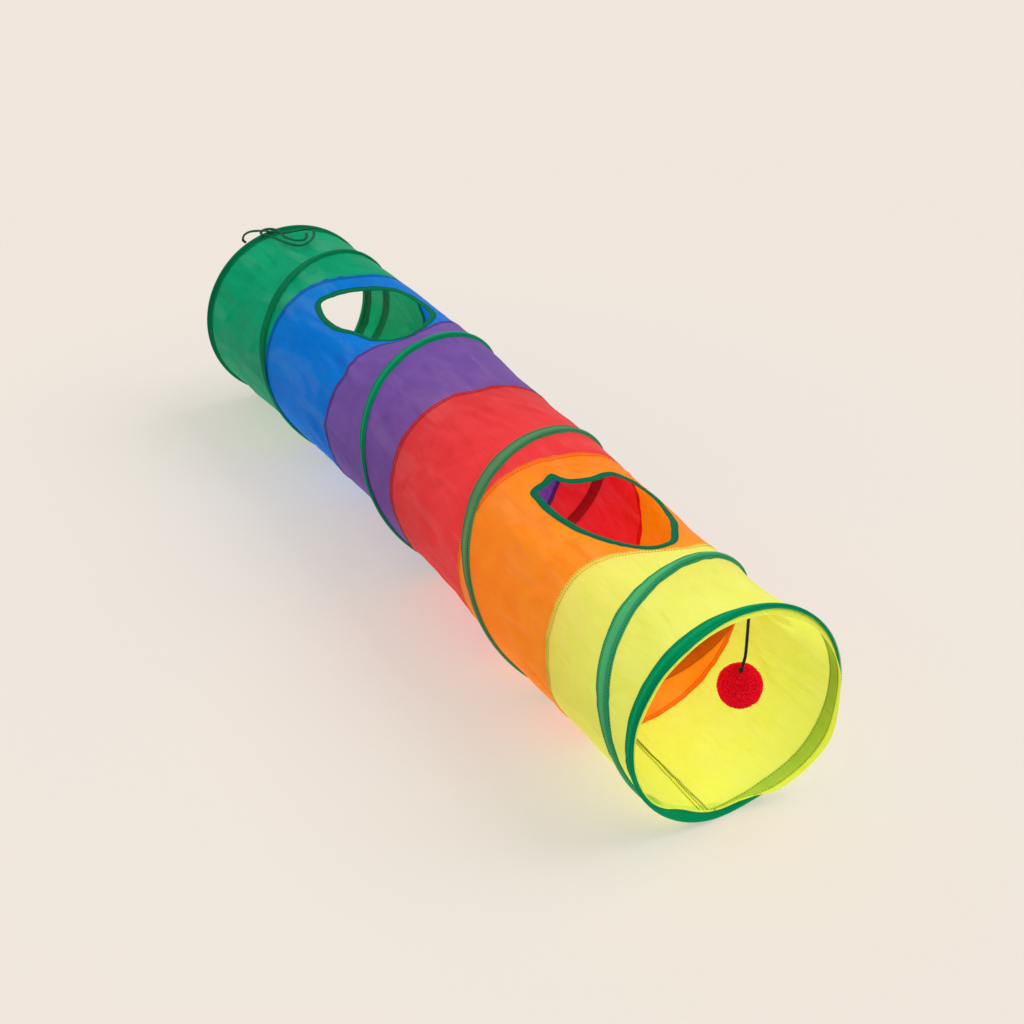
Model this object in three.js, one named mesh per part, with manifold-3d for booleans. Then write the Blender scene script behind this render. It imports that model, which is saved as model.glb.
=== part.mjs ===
// A cat tunnel that lies open at its full length: six coloured cloth panels sewn end to end round a spiral
// spring wire, a tape sewn over every turn of the wire, two bound peepholes in the top, a pom-pom on a cord
// inside the front mouth, and tie cords at the top of the back mouth.
// Millimetres, +Z up. The tunnel runs along X with its front mouth at +X. It is worked out from the centre
// of the front wire ring, and at the end it is moved to stand with the middle of its base at the origin.
// Angles are in degrees round the tunnel, from +Y at 0 to the top at 90.

import * as THREE from "three";
import Module from "manifold-3d";
import { mergeVertices } from "three/addons/utils/BufferGeometryUtils.js";

const FULL_TURN = 360;
const HALF_TURN = 180;
const QUARTER_TURN = 90;

// Wire
const COIL_RADIUS = 125;
const COIL_LENGTH = 1150;
const WIRE_RADIUS = 1.25;
const WIRE_SIDES = 6;

// Where the wire is, from the front ring, at each quarter turn: it leaves the back ring at COIL_START.
const COIL_START = -135;
const COIL_X = [
  -1150, -1115, -1060, -994,
  -934, -839, -747, -688,
  -602, -530, -446, -386,
  -292, -212, -133, -78,
  -20, 0,
];
const COIL_END = COIL_START + QUARTER_TURN * (COIL_X.length - 1);
// The wire's two ends, once round each mouth past the coil
const WIRE_FIRST = -475;
const WIRE_LAST = 1725;
// From this angle on, the coil crosses any line along the tunnel this many times between the mouths.
const FIRST_TURN = -90;
const TURNS = 4;

// Cloth and tape
const GAP = 0.3;
const CLOTH = 1.0;
const TAPE = 1.0;
const ANGLE_STEP = 10;
const FIRST_ANGLE = 5;
const FRONT_HEM = 17;
const BACK_HEM = 14;
const PANEL_DIVISIONS = 4;
const UNDER_WIRE = COIL_RADIUS - WIRE_RADIUS - GAP;
const OVER_WIRE = COIL_RADIUS + WIRE_RADIUS + GAP;
const BACK_TAPE_HALF = 9;
const FRONT_TAPE_HALF = 11.5;
const CREST_HALF = 3;
const TAPE_EDGE_CLEAR = 1.4;
const JOIN_REACH = 6;
const COIL_TAPE_FIRST = -85;
const COIL_TAPE_LAST = 1315;
const END_TRIM = 0.07;

// How far the cloth sinks between two turns of the wire, by place and by angle (every 45 degrees from 0).
const SAG = [
  { x: -975, depth: [4, 1, 20, 3, 3, 1, 2, 3] },
  { x: -812, depth: [4, 3, 42, 15, 5, 1, 3, 4] },
  { x: -650, depth: [5, 4, 13, 2, 6, 6, 5, 5] },
  { x: -475, depth: [5, 3, 10, 2, 6, 6, 4, 4] },
  { x: -300, depth: [6, 3, 16, 1, 9, 3, 2, 5] },
  { x: -100, depth: [11, 20, 37, 1, 10, 2, 2, 8] },
];
const FULL_GAP = 275;
const SLACK_POWER = 1.2;

// How far the cloth's hem and the tape of each mouth turn in past the wire, in degrees, by angle (every 45
// degrees from 0)
const HEM_TURN_IN = {
  front: [12, 55, 45, 5, 5, 15, 80, 40],
  back: [12, 12, 12, 12, 12, 12, 12, 12],
};
const TAPE_TURN_IN = {
  front: [6, 0, 5, 5, 5, 15, 80, 40],
  back: [12, 12, 12, 12, 12, 12, 12, 12],
};
const TURN_START = -1;
const TURN_REACH = 4;
const TURN_MIDDLE = TURN_START + TURN_REACH / 2;

// The tunnel doesn't lie quite straight: its axis bows to one side and waves.
const SWAY_BOW = 9;
const SWAY_WAVE = -8;

// One side of the tunnel is pressed in a little near the front.
const DENT = { x: -130, angle: 45, depth: 4.5, alongSpread: 70, aroundSpread: 35 };

// Panels from the back: the seam at the front end of each, with one place where the seam is pulled along.
const SEAMS = [
  { x: -970, pull: 9, angle: 185, spread: 35 },
  { x: -790, pull: -22, angle: 48, spread: 25 },
  { x: -584, pull: 18, angle: 207, spread: 25 },
  { x: -384, pull: 4, angle: 80, spread: 30 },
  { x: -185, pull: 28, angle: 74, spread: 22 },
];
const PANELS = [
  { name: "panel_green", finish: { color: 0x02935f, roughness: 0.5, metalness: 0 } },
  { name: "panel_blue", finish: { color: 0x0667d6, roughness: 0.5, metalness: 0 } },
  { name: "panel_purple", finish: { color: 0x7b52a8, roughness: 0.5, metalness: 0 } },
  { name: "panel_red", finish: { color: 0xe02a35, roughness: 0.5, metalness: 0 } },
  { name: "panel_orange", finish: { color: 0xff8b26, roughness: 0.5, metalness: 0 } },
  { name: "panel_yellow", finish: { color: 0xe2e763, roughness: 0.5, metalness: 0 } },
];
const TAPE_FINISH = { color: 0x047a52, roughness: 0.55, metalness: 0 };
const WIRE_FINISH = { color: 0xb9bcc0, roughness: 0.35, metalness: 0.9 };
const POM_FINISH = { color: 0xd0132c, roughness: 0.9, metalness: 0 };
const POM_CORD_FINISH = { color: 0x141414, roughness: 0.8, metalness: 0 };
const TIE_FINISH = { color: 0x03573c, roughness: 0.7, metalness: 0 };

// Peepholes: the outer edge of the binding, going round, as the distance from the front ring and the angle.
const BINDING_WIDTH = 7.5;
const BINDING_OUT = 0.7;
const BINDING_THICKNESS = 2.4;
const BINDING_STEPS = 36;
const PLUG_WALL = 2;
const PLUG_CONE = 80;
const HOLES = [
  {
    name: "binding_blue_hole",
    panel: "panel_blue",
    outline: [
      { x: -942, angle: 119 },
      { x: -951, angle: 95 },
      { x: -934, angle: 70 },
      { x: -906, angle: 57 },
      { x: -856, angle: 55 },
      { x: -818, angle: 62 },
      { x: -800, angle: 78 },
      { x: -798, angle: 97 },
      { x: -812, angle: 113 },
      { x: -850, angle: 122 },
      { x: -898, angle: 127 },
    ],
  },
  {
    name: "binding_orange_hole",
    panel: "panel_orange",
    outline: [
      { x: -337, angle: 115 },
      { x: -347, angle: 101 },
      { x: -334, angle: 84 },
      { x: -338, angle: 65 },
      { x: -314, angle: 52 },
      { x: -264, angle: 49 },
      { x: -214, angle: 56 },
      { x: -172, angle: 72 },
      { x: -168, angle: 88 },
      { x: -196, angle: 102 },
      { x: -236, angle: 113 },
      { x: -290, angle: 117 },
    ],
  },
];

const CORD_SIDES = 8;

// Pom-pom and its cord, whose route is given from the front ring's centre
const POM_RADIUS = 23;
const POM_DETAIL = 3;
const POM_CENTRE = { x: -11, y: 9, z: 26.5 };
const POM_CORD_RADIUS = 1.5;
const POM_CORD_STEPS = 10;
const POM_CORD_ROUTE = [
  { x: -11, y: 12, z: 116 },
  { x: -11.4, y: 12.3, z: 104 },
  { x: -11.2, y: 12.6, z: 90 },
  { x: -10.6, y: 12.4, z: 76 },
  { x: -10.2, y: 12, z: 62 },
  { x: -9.6, y: 11.4, z: 49.8 },
];

// Tie cords on the back mouth, whose routes are given round the tunnel
const TIE_RADIUS = 1.4;
const TIES = [
  {
    name: "tie_cord",
    steps: 26,
    route: [
      { x: -1135, angle: 73, radius: 128.6 },
      { x: -1131, angle: 80, radius: 127.4 },
      { x: -1128, angle: 88, radius: 126.8 },
      { x: -1129, angle: 95, radius: 127.2 },
      { x: -1138, angle: 100, radius: 128.8 },
      { x: -1150, angle: 104, radius: 129.8 },
      { x: -1161, angle: 108, radius: 130.4 },
      { x: -1167, angle: 112, radius: 131.4 },
      { x: -1170, angle: 115.5, radius: 129.6 },
      { x: -1170, angle: 117.5, radius: 124.6 },
      { x: -1167.5, angle: 117, radius: 119.6 },
    ],
  },
  {
    name: "tie_loop",
    steps: 40,
    route: [
      { x: -1126, angle: 76, radius: 126.4 },
      { x: -1108, angle: 80, radius: 124.8 },
      { x: -1090, angle: 87, radius: 124.2 },
      { x: -1082, angle: 94, radius: 124 },
      { x: -1092, angle: 98.5, radius: 124.4 },
      { x: -1112, angle: 101.5, radius: 125.4 },
      { x: -1132, angle: 104, radius: 128.2 },
      { x: -1148, angle: 107.5, radius: 131.8 },
      { x: -1154, angle: 106, radius: 134.2 },
      { x: -1150, angle: 101, radius: 134 },
      { x: -1136, angle: 98, radius: 132.4 },
      { x: -1118, angle: 97.5, radius: 126 },
      { x: -1103, angle: 94.5, radius: 124.6 },
      { x: -1097, angle: 90, radius: 124.6 },
      { x: -1104, angle: 86, radius: 125 },
      { x: -1118, angle: 83, radius: 125.4 },
    ],
  },
];

const wasm = await Module();
wasm.setup();

const group = new THREE.Group();

function radians(degrees) {
  return THREE.MathUtils.degToRad(degrees);
}

function wrapAngle(angle) {
  return THREE.MathUtils.euclideanModulo(angle, FULL_TURN);
}

// How far an angle is past another, from -180 to 180
function angleFrom(start, angle) {
  return wrapAngle(angle - start + HALF_TURN) - HALF_TURN;
}

function smooth(t) {
  return t * t * (3 - 2 * t);
}

// A value from a table that goes once round the tunnel
function aroundValue(table, angle) {
  const step = wrapAngle(angle) / (FULL_TURN / table.length);
  const low = Math.floor(step) % table.length;
  const high = (low + 1) % table.length;
  return THREE.MathUtils.lerp(table[low], table[high], smooth(step - Math.floor(step)));
}

// Slope of the wire at a quarter turn: the harmonic mean of the slopes on its two sides
function coilSlope(index) {
  if (index <= 0 || index >= COIL_X.length - 1) return 0;
  const before = COIL_X[index] - COIL_X[index - 1];
  const after = COIL_X[index + 1] - COIL_X[index];
  return (2 * before * after) / (before + after);
}

// Place of the wire along the tunnel at an angle that counts whole turns
function coilX(angle) {
  if (angle <= COIL_START) return COIL_X[0];
  if (angle >= COIL_END) return COIL_X[COIL_X.length - 1];
  const quarters = (angle - COIL_START) / QUARTER_TURN;
  const index = Math.min(Math.floor(quarters), COIL_X.length - 2);
  const t = quarters - index;
  const rise = smooth(t);
  return (
    COIL_X[index] * (1 - rise) +
    COIL_X[index + 1] * rise +
    coilSlope(index) * t * (1 - t) * (1 - t) -
    coilSlope(index + 1) * t * t * (1 - t)
  );
}

// Places along the tunnel where a line at this angle meets the wire, from the back ring to the front ring
function crossings(angle) {
  const first = FIRST_TURN + wrapAngle(angle - FIRST_TURN);
  const turns = Array.from({ length: TURNS }, (_, turn) => coilX(first + FULL_TURN * turn));
  return [-COIL_LENGTH, ...turns, 0];
}

function sagDepth(x, angle) {
  const last = SAG.length - 1;
  if (x <= SAG[0].x) return aroundValue(SAG[0].depth, angle);
  if (x >= SAG[last].x) return aroundValue(SAG[last].depth, angle);
  const index = SAG.findIndex((row) => row.x > x) - 1;
  const t = (x - SAG[index].x) / (SAG[index + 1].x - SAG[index].x);
  const low = aroundValue(SAG[index].depth, angle);
  const high = aroundValue(SAG[index + 1].depth, angle);
  return THREE.MathUtils.lerp(low, high, smooth(t));
}

// Outer radius of the cloth: just inside the wire, and sunk between its turns
function clothRadius(x, angle) {
  const wires = crossings(angle);
  const index = wires.findIndex((wire) => wire > x) - 1;
  if (index < 0) return UNDER_WIRE;
  const gap = wires[index + 1] - wires[index];
  const t = (x - wires[index]) / gap;
  const slack = Math.min(gap / FULL_GAP, 1) ** SLACK_POWER;
  return UNDER_WIRE - sagDepth(x, angle) * slack * 4 * t * (1 - t);
}

function swayAt(x) {
  const along = THREE.MathUtils.clamp(-x / COIL_LENGTH, 0, 1);
  return SWAY_BOW * Math.sin(Math.PI * along) + SWAY_WAVE * Math.sin(2 * Math.PI * along);
}

function dentAt(x, angle) {
  const along = (x - DENT.x) / DENT.alongSpread;
  const around = angleFrom(DENT.angle, angle) / DENT.aroundSpread;
  return DENT.depth * Math.exp(-(along ** 2) - around ** 2);
}

function place(x, angle, radius) {
  const turned = radians(angle);
  const reach = radius - dentAt(x, angle);
  return new THREE.Vector3(x, swayAt(x) + reach * Math.cos(turned), reach * Math.sin(turned));
}

// Past a mouth's wire, cloth and tape turn in round that wire.
function placeHemmed(x, angle, radius, turnIn) {
  const front = x + COIL_LENGTH / 2 > 0;
  const mouth = front ? 0 : -COIL_LENGTH;
  const outward = front ? x - mouth : mouth - x;
  const full = aroundValue(front ? turnIn.front : turnIn.back, angle);
  const turn = radians(full * THREE.MathUtils.clamp((outward - TURN_START) / TURN_REACH, 0, 1));
  const height = radius - COIL_RADIUS;
  const turnedOut = outward * Math.cos(turn) + height * Math.sin(turn);
  const turnedHeight = height * Math.cos(turn) - outward * Math.sin(turn);
  const turnedX = front ? mouth + turnedOut : mouth - turnedOut;
  return place(turnedX, angle, COIL_RADIUS + turnedHeight);
}

// A closed sheet between two grids of points, outer and inner, row by row round or along the tunnel
function sheetGeometry(outer, inner, closed) {
  const rows = outer.length;
  const columns = outer[0].length;
  const positions = [...outer.flat(), ...inner.flat()].flatMap((point) => point.toArray());
  const out = (row, column) => (row % rows) * columns + column;
  const into = (row, column) => rows * columns + out(row, column);
  const indices = [];
  const quad = (a, b, c, d) => indices.push(a, c, b, a, d, c);
  for (let row = 0; row < (closed ? rows : rows - 1); row += 1) {
    for (let column = 0; column < columns - 1; column += 1) {
      quad(out(row, column), out(row, column + 1), out(row + 1, column + 1), out(row + 1, column));
      quad(into(row, column), into(row + 1, column), into(row + 1, column + 1), into(row, column + 1));
    }
    quad(out(row, 0), out(row + 1, 0), into(row + 1, 0), into(row, 0));
    const last = columns - 1;
    quad(out(row + 1, last), out(row, last), into(row, last), into(row + 1, last));
  }
  if (!closed) {
    const end = rows - 1;
    for (let column = 0; column < columns - 1; column += 1) {
      quad(out(0, column + 1), out(0, column), into(0, column), into(0, column + 1));
      quad(out(end, column), out(end, column + 1), into(end, column + 1), into(end, column));
    }
  }
  const geometry = new THREE.BufferGeometry();
  geometry.setAttribute("position", new THREE.Float32BufferAttribute(positions, 3));
  geometry.setIndex(indices);
  return geometry;
}

function weld(geometry) {
  geometry.deleteAttribute("normal");
  geometry.deleteAttribute("uv");
  return mergeVertices(geometry);
}

function toSolid(geometry) {
  const mesh = new wasm.Mesh({
    numProp: 3,
    vertProperties: Float32Array.from(geometry.getAttribute("position").array),
    triVerts: Uint32Array.from(geometry.getIndex().array),
  });
  return new wasm.Manifold(mesh);
}

function toGeometry(solid) {
  const mesh = solid.getMesh();
  const geometry = new THREE.BufferGeometry();
  geometry.setAttribute("position", new THREE.Float32BufferAttribute(mesh.vertProperties, 3));
  geometry.setIndex(new THREE.Uint32BufferAttribute(mesh.triVerts, 1));
  return geometry;
}

function addPiece(name, geometry, finish) {
  geometry.computeVertexNormals();
  const mesh = new THREE.Mesh(geometry, new THREE.MeshStandardMaterial({ ...finish, flatShading: true }));
  mesh.name = name;
  group.add(mesh);
}

function stepAngles(first, last) {
  const count = Math.round((last - first) / ANGLE_STEP);
  return Array.from({ length: count + 1 }, (_, step) => first + step * ANGLE_STEP);
}

const AROUND = stepAngles(FIRST_ANGLE, FIRST_ANGLE + FULL_TURN - ANGLE_STEP);

// Panels

function seamX(seam, angle) {
  const away = angleFrom(seam.angle, angle) / seam.spread;
  return seam.x + seam.pull * Math.exp(-(away ** 2));
}

// The two ends of a panel at an angle, each half a gap short of its seam
function panelEnds(index, angle) {
  const start = index === 0 ? -COIL_LENGTH - BACK_HEM : seamX(SEAMS[index - 1], angle) + GAP / 2;
  const end = index === SEAMS.length ? FRONT_HEM : seamX(SEAMS[index], angle) - GAP / 2;
  return { start, end };
}

// Places of a panel's points at an angle: even steps, with the mouth's wire and its turn kept on a point
function panelPlaces(index, angle) {
  const { start, end } = panelEnds(index, angle);
  const evenly = (low, high, count) =>
    Array.from({ length: count + 1 }, (_, step) => THREE.MathUtils.lerp(low, high, step / count));
  if (index === 0) return [start, -COIL_LENGTH - CREST_HALF, ...evenly(-COIL_LENGTH, end, PANEL_DIVISIONS)];
  if (index === SEAMS.length) {
    return [...evenly(start, -FRONT_TAPE_HALF, PANEL_DIVISIONS), 0, CREST_HALF, end];
  }
  return evenly(start, end, PANEL_DIVISIONS);
}

// A panel as a sheet whose faces lie this far outside and inside the cloth's outer surface
function panelSheet(index, outside, inside) {
  const grid = (offset) =>
    AROUND.map((angle) =>
      panelPlaces(index, angle).map((x) => {
        const radius = clothRadius(x, angle) + offset;
        return placeHemmed(x, angle, radius, HEM_TURN_IN);
      }),
    );
  return sheetGeometry(grid(outside), grid(-inside), true);
}

// Peepholes

// The hole's outline, drawn in by a distance, on the tunnel laid flat: x along it, y round it
function holeOutline(hole, inset) {
  const flat = hole.outline.map((row) => new THREE.Vector3(row.x, radians(row.angle) * COIL_RADIUS, 0));
  const points = new THREE.CatmullRomCurve3(flat, true).getSpacedPoints(BINDING_STEPS).slice(0, -1);
  return points.map((point, index) => {
    const before = points[(index + points.length - 1) % points.length];
    const after = points[(index + 1) % points.length];
    const along = after.clone().sub(before).normalize();
    return new THREE.Vector2(point.x - along.y * inset, point.y + along.x * inset);
  });
}

function onFlat(point, height) {
  const angle = THREE.MathUtils.radToDeg(point.y / COIL_RADIUS);
  return place(point.x, angle, clothRadius(point.x, angle) + height);
}

// A plug that fills the hole: a low wall along its outline, closed by a cone above and a cone below
function holePlug(hole) {
  const outline = holeOutline(hole, -GAP);
  const total = outline.reduce((sum, point) => sum.add(point), new THREE.Vector2());
  const middle = total.divideScalar(outline.length);
  const points = [
    ...outline.map((point) => onFlat(point, PLUG_WALL)),
    ...outline.map((point) => onFlat(point, -CLOTH - PLUG_WALL)),
    onFlat(middle, PLUG_CONE),
    onFlat(middle, -PLUG_CONE),
  ];
  const count = outline.length;
  const indices = outline.flatMap((_, step) => {
    const next = (step + 1) % count;
    return [
      [step, next, 2 * count],
      [count + next, count + step, 2 * count + 1],
      [step, count + step, count + next],
      [step, count + next, next],
    ].flatMap(([first, second, third]) => [first, third, second]);
  });
  const geometry = new THREE.BufferGeometry().setFromPoints(points);
  geometry.setIndex(indices);
  return toSolid(geometry);
}

// The binding as a folded strip along the edge of the hole
function bindingGeometry(hole) {
  const edges = [BINDING_WIDTH, 0].map((inset) => holeOutline(hole, inset));
  const grid = (height) => edges[0].map((_, step) => edges.map((edge) => onFlat(edge[step], height)));
  return sheetGeometry(grid(BINDING_OUT), grid(BINDING_OUT - BINDING_THICKNESS), true);
}

function buildPanels() {
  PANELS.forEach((panel, index) => {
    const hole = HOLES.find((row) => row.panel === panel.name);
    let geometry = panelSheet(index, 0, CLOTH);
    if (hole) {
      geometry = toGeometry(toSolid(geometry).subtract(holePlug(hole)));
      addPiece(hole.name, bindingGeometry(hole), TAPE_FINISH);
    }
    addPiece(panel.name, geometry, panel.finish);
  });
}

// Wire

// The wire's centre line, stepped evenly by angle so that its corners lie under those of the tape
class WireCurve extends THREE.Curve {
  getPoint(t) {
    const angle = THREE.MathUtils.lerp(WIRE_FIRST, WIRE_LAST, t);
    return place(coilX(angle), angle, COIL_RADIUS);
  }

  getUtoTmapping(u) {
    return u;
  }
}

function circle(radius, sides) {
  const corner = (_, side) => {
    const turn = (2 * Math.PI * side) / sides;
    return new THREE.Vector2(radius * Math.cos(turn), radius * Math.sin(turn));
  };
  return new THREE.Shape(Array.from({ length: sides }, corner));
}

function tube(curve, radius, sides, steps) {
  return weld(new THREE.ExtrudeGeometry(circle(radius, sides), { steps, extrudePath: curve }));
}

function buildWire() {
  const steps = (WIRE_LAST - WIRE_FIRST) / ANGLE_STEP;
  addPiece("spring_wire", tube(new WireCurve(), WIRE_RADIUS, WIRE_SIDES, steps), WIRE_FINISH);
}

// Tape

function tapeHalf(x) {
  const along = THREE.MathUtils.clamp(-x / COIL_LENGTH, 0, 1);
  return THREE.MathUtils.lerp(FRONT_TAPE_HALF, BACK_TAPE_HALF, along);
}

function tapeEdgeRadius(x, angle) {
  return clothRadius(x, angle) + GAP + TAPE_EDGE_CLEAR;
}

// A tape from rows of places across it, each with its inner radius
function tapeSheet(rows, closed) {
  const grid = (offset) =>
    rows.map(({ angle, across }) =>
      across.map(({ x, radius }) => placeHemmed(x, angle, radius + offset, TAPE_TURN_IN)),
    );
  return sheetGeometry(grid(TAPE), grid(0), closed);
}

// How far the coil's nearest turn has moved from a mouth's ring
function joinDistance(front, angle) {
  if (front) return -coilX(COIL_END - wrapAngle(COIL_END - angle));
  return coilX(COIL_START + wrapAngle(angle - COIL_START)) + COIL_LENGTH;
}

// Across a mouth's tape: flat over the wire, and wider where the coil's next turn still lies under it
function mouthTapeRow(front, angle) {
  const mouth = front ? 0 : -COIL_LENGTH;
  const half = front ? FRONT_TAPE_HALF : BACK_TAPE_HALF;
  const outward = front ? 1 : -1;
  const joined = joinDistance(front, angle) < half + JOIN_REACH;
  const crest = joined ? half - GAP : CREST_HALF;
  const inner = mouth - outward * half;
  const outer = mouth + outward * half;
  const across = [
    { x: inner, radius: joined ? OVER_WIRE : tapeEdgeRadius(inner, angle) },
    { x: mouth - outward * crest, radius: OVER_WIRE },
    { x: mouth, radius: OVER_WIRE },
    { x: mouth + outward * TURN_MIDDLE, radius: OVER_WIRE },
    { x: mouth + outward * CREST_HALF, radius: OVER_WIRE },
    { x: outer, radius: UNDER_WIRE + GAP + TAPE_EDGE_CLEAR },
  ];
  return { angle, across: front ? across : across.reverse() };
}

// Across the coil's tape: flat over the wire, and short of the tapes of the mouths
function coilTapeRow(angle) {
  const middle = coilX(angle);
  const half = tapeHalf(middle);
  const low = Math.max(middle - half, -COIL_LENGTH + BACK_TAPE_HALF + GAP);
  const high = Math.min(middle + half, -FRONT_TAPE_HALF - GAP);
  const crestLow = Math.max(middle - CREST_HALF, low + GAP);
  const crestHigh = Math.min(middle + CREST_HALF, high - GAP);
  const edge = (x) => Math.min(tapeEdgeRadius(x, angle) + edgeLift(Math.abs(x - middle), half), OVER_WIRE);
  const across = [
    { x: low, radius: edge(low) },
    { x: crestLow, radius: OVER_WIRE },
    { x: crestHigh, radius: OVER_WIRE },
    { x: high, radius: edge(high) },
  ];
  return { angle, across };
}

// Where the tape is cut narrow, its edge stays up near the wire.
function edgeLift(reach, half) {
  const fall = OVER_WIRE - UNDER_WIRE;
  return fall * (1 - THREE.MathUtils.clamp((reach - CREST_HALF) / (half - CREST_HALF), 0, 1));
}

function buildTapes() {
  for (const [name, front] of [["tape_back_mouth", false], ["tape_front_mouth", true]]) {
    const rows = AROUND.map((angle) => mouthTapeRow(front, angle));
    addPiece(name, tapeSheet(rows, true), TAPE_FINISH);
  }
  const perTurn = (COIL_TAPE_LAST - COIL_TAPE_FIRST) / TURNS;
  for (let turn = 0; turn < TURNS; turn += 1) {
    const first = COIL_TAPE_FIRST + perTurn * turn;
    const angles = stepAngles(first, first + perTurn);
    angles[0] += END_TRIM;
    angles[angles.length - 1] -= END_TRIM;
    addPiece(`tape_turn_${turn + 1}`, tapeSheet(angles.map(coilTapeRow), false), TAPE_FINISH);
  }
}

// Pom-pom and cords

function buildPomPom() {
  const ball = weld(new THREE.IcosahedronGeometry(POM_RADIUS, POM_DETAIL));
  ball.translate(POM_CENTRE.x, POM_CENTRE.y, POM_CENTRE.z);
  addPiece("pom_pom", ball, POM_FINISH);
  const route = POM_CORD_ROUTE.map((row) => new THREE.Vector3(row.x, row.y, row.z));
  const cord = tube(new THREE.CatmullRomCurve3(route), POM_CORD_RADIUS, CORD_SIDES, POM_CORD_STEPS);
  addPiece("pom_pom_cord", cord, POM_CORD_FINISH);
}

function buildTies() {
  for (const tie of TIES) {
    const route = tie.route.map((row) => place(row.x, row.angle, row.radius));
    const cord = tube(new THREE.CatmullRomCurve3(route), TIE_RADIUS, CORD_SIDES, tie.steps);
    addPiece(tie.name, cord, TIE_FINISH);
  }
}

buildPanels();
buildWire();
buildTapes();

// The cloth, tapes and wire reach furthest on every side, so they set the middle of the base.
const bounds = new THREE.Box3().setFromObject(group);
const middle = bounds.getCenter(new THREE.Vector3());
group.position.set(-middle.x, -middle.y, -bounds.min.z);

buildPomPom();
buildTies();

export default group;
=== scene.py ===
import math
from collections import namedtuple

import bmesh
import bpy
import numpy as np
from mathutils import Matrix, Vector


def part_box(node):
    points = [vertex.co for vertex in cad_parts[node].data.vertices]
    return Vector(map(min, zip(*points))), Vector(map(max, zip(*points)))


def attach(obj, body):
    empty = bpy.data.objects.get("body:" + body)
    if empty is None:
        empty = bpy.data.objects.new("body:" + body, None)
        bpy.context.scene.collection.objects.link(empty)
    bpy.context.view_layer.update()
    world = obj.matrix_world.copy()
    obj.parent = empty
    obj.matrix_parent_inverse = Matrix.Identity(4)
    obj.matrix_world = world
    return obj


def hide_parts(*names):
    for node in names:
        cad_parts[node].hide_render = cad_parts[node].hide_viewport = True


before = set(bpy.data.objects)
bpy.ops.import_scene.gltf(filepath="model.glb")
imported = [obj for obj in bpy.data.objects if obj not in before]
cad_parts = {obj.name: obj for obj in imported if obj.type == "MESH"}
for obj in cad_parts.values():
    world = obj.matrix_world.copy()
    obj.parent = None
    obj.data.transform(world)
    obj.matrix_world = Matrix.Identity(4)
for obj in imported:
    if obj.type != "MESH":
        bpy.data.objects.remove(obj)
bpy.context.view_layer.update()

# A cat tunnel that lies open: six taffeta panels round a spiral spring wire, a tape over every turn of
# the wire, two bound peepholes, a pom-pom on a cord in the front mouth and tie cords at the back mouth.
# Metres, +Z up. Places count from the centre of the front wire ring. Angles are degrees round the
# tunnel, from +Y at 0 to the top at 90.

MM = 0.001
FLOOR_CLEAR = 0.1 * MM
SHARP_ANGLE = math.radians(50)

# Wire and cloth, as in the solids but for a few millimetres along the coil
COIL_RADIUS = 125 * MM
COIL_LENGTH = 1150 * MM
WIRE_RADIUS = 1.25 * MM
COIL_START = -135
COIL_X = MM * np.array([
    -1150, -1115, -1064, -998,
    -934, -839, -747, -688,
    -602, -530, -450, -390,
    -292, -212, -136, -81,
    -20, 0,
])
QUARTER_TURN = 90
WIRE_FIRST = -475
WIRE_LAST = 1725
FIRST_TURN = -90
TURNS = 4
GAP = 0.3 * MM
UNDER_WIRE = COIL_RADIUS - WIRE_RADIUS - GAP
FRONT_HEM = 17 * MM
BACK_HEM = 14 * MM
BACK_TAPE_HALF = 9 * MM
FRONT_TAPE_HALF = 11.5 * MM
COIL_TAPE_FIRST = -85
COIL_TAPE_LAST = 1315

# How far the cloth sinks between two turns of the wire: place, then the depth every 45 degrees from 0
SAG_X = MM * np.array([-975, -812, -650, -475, -300, -100])
SAG_DEPTH = MM * np.array([
    [4, 1, 20, 3, 3, 1, 2, 3],
    [4, 3, 42, 15, 5, 1, 3, 4],
    [5, 4, 13, 2, 6, 6, 5, 5],
    [5, 3, 10, 2, 6, 6, 4, 4],
    [6, 3, 16, 1, 9, 3, 2, 5],
    [11, 13, 33, 1, 10, 2, 2, 8],
])
FULL_GAP = 275 * MM
SLACK_POWER = 1.2

# How far the hems and tapes of the mouths turn in past the wire, in degrees (every 30 degrees from 0)
HEM_TURN_IN = {"front": [15, 30, 35, 18, 8, 5, 5, 20, 85, 80, 10, 3], "back": [12] * 12}
TAPE_TURN_IN = {"front": [6, 2, 1, 5, 5, 5, 5, 20, 85, 80, 10, 3], "back": [12] * 12}
TURN_START = -1 * MM
TURN_REACH = 4 * MM
# How much of its full width a hem or tape of the front mouth keeps past the wire (every 30 degrees from 0)
HEM_KEPT = [0.6, 0.7, 0.65, 0.6, 0.6, 0.5, 0.32, 0.32, 0.8, 0.55, 0.8, 0.95]
TAPE_KEPT = [0.4, 0.31, 0.31, 0.5, 0.7, 0.5, 0.31, 0.31, 1, 0.6, 0.6, 0.7]

SWAY_BOW = 9 * MM
SWAY_WAVE = -8 * MM
# Where the side is dented and the front mouth is pushed back a little
DENT_X, DENT_ANGLE, DENT_DEPTH = -130 * MM, 45, 4.5 * MM
DENT_ALONG, DENT_AROUND = 70 * MM, 35
PUSH_ANGLE, PUSH_DEPTH, PUSH_ALONG, PUSH_AROUND = 285, 8.5 * MM, 90 * MM, 26

# Seams from the back, each with one place where it is pulled along
Seam = namedtuple("Seam", "x pull angle spread")
SEAMS = [
    Seam(-977 * MM, 8 * MM, 185, 35),
    Seam(-790 * MM, -22 * MM, 48, 25),
    Seam(-584 * MM, 18 * MM, 207, 25),
    Seam(-384 * MM, 4 * MM, 80, 30),
    Seam(-185 * MM, 28 * MM, 74, 22),
]

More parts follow.
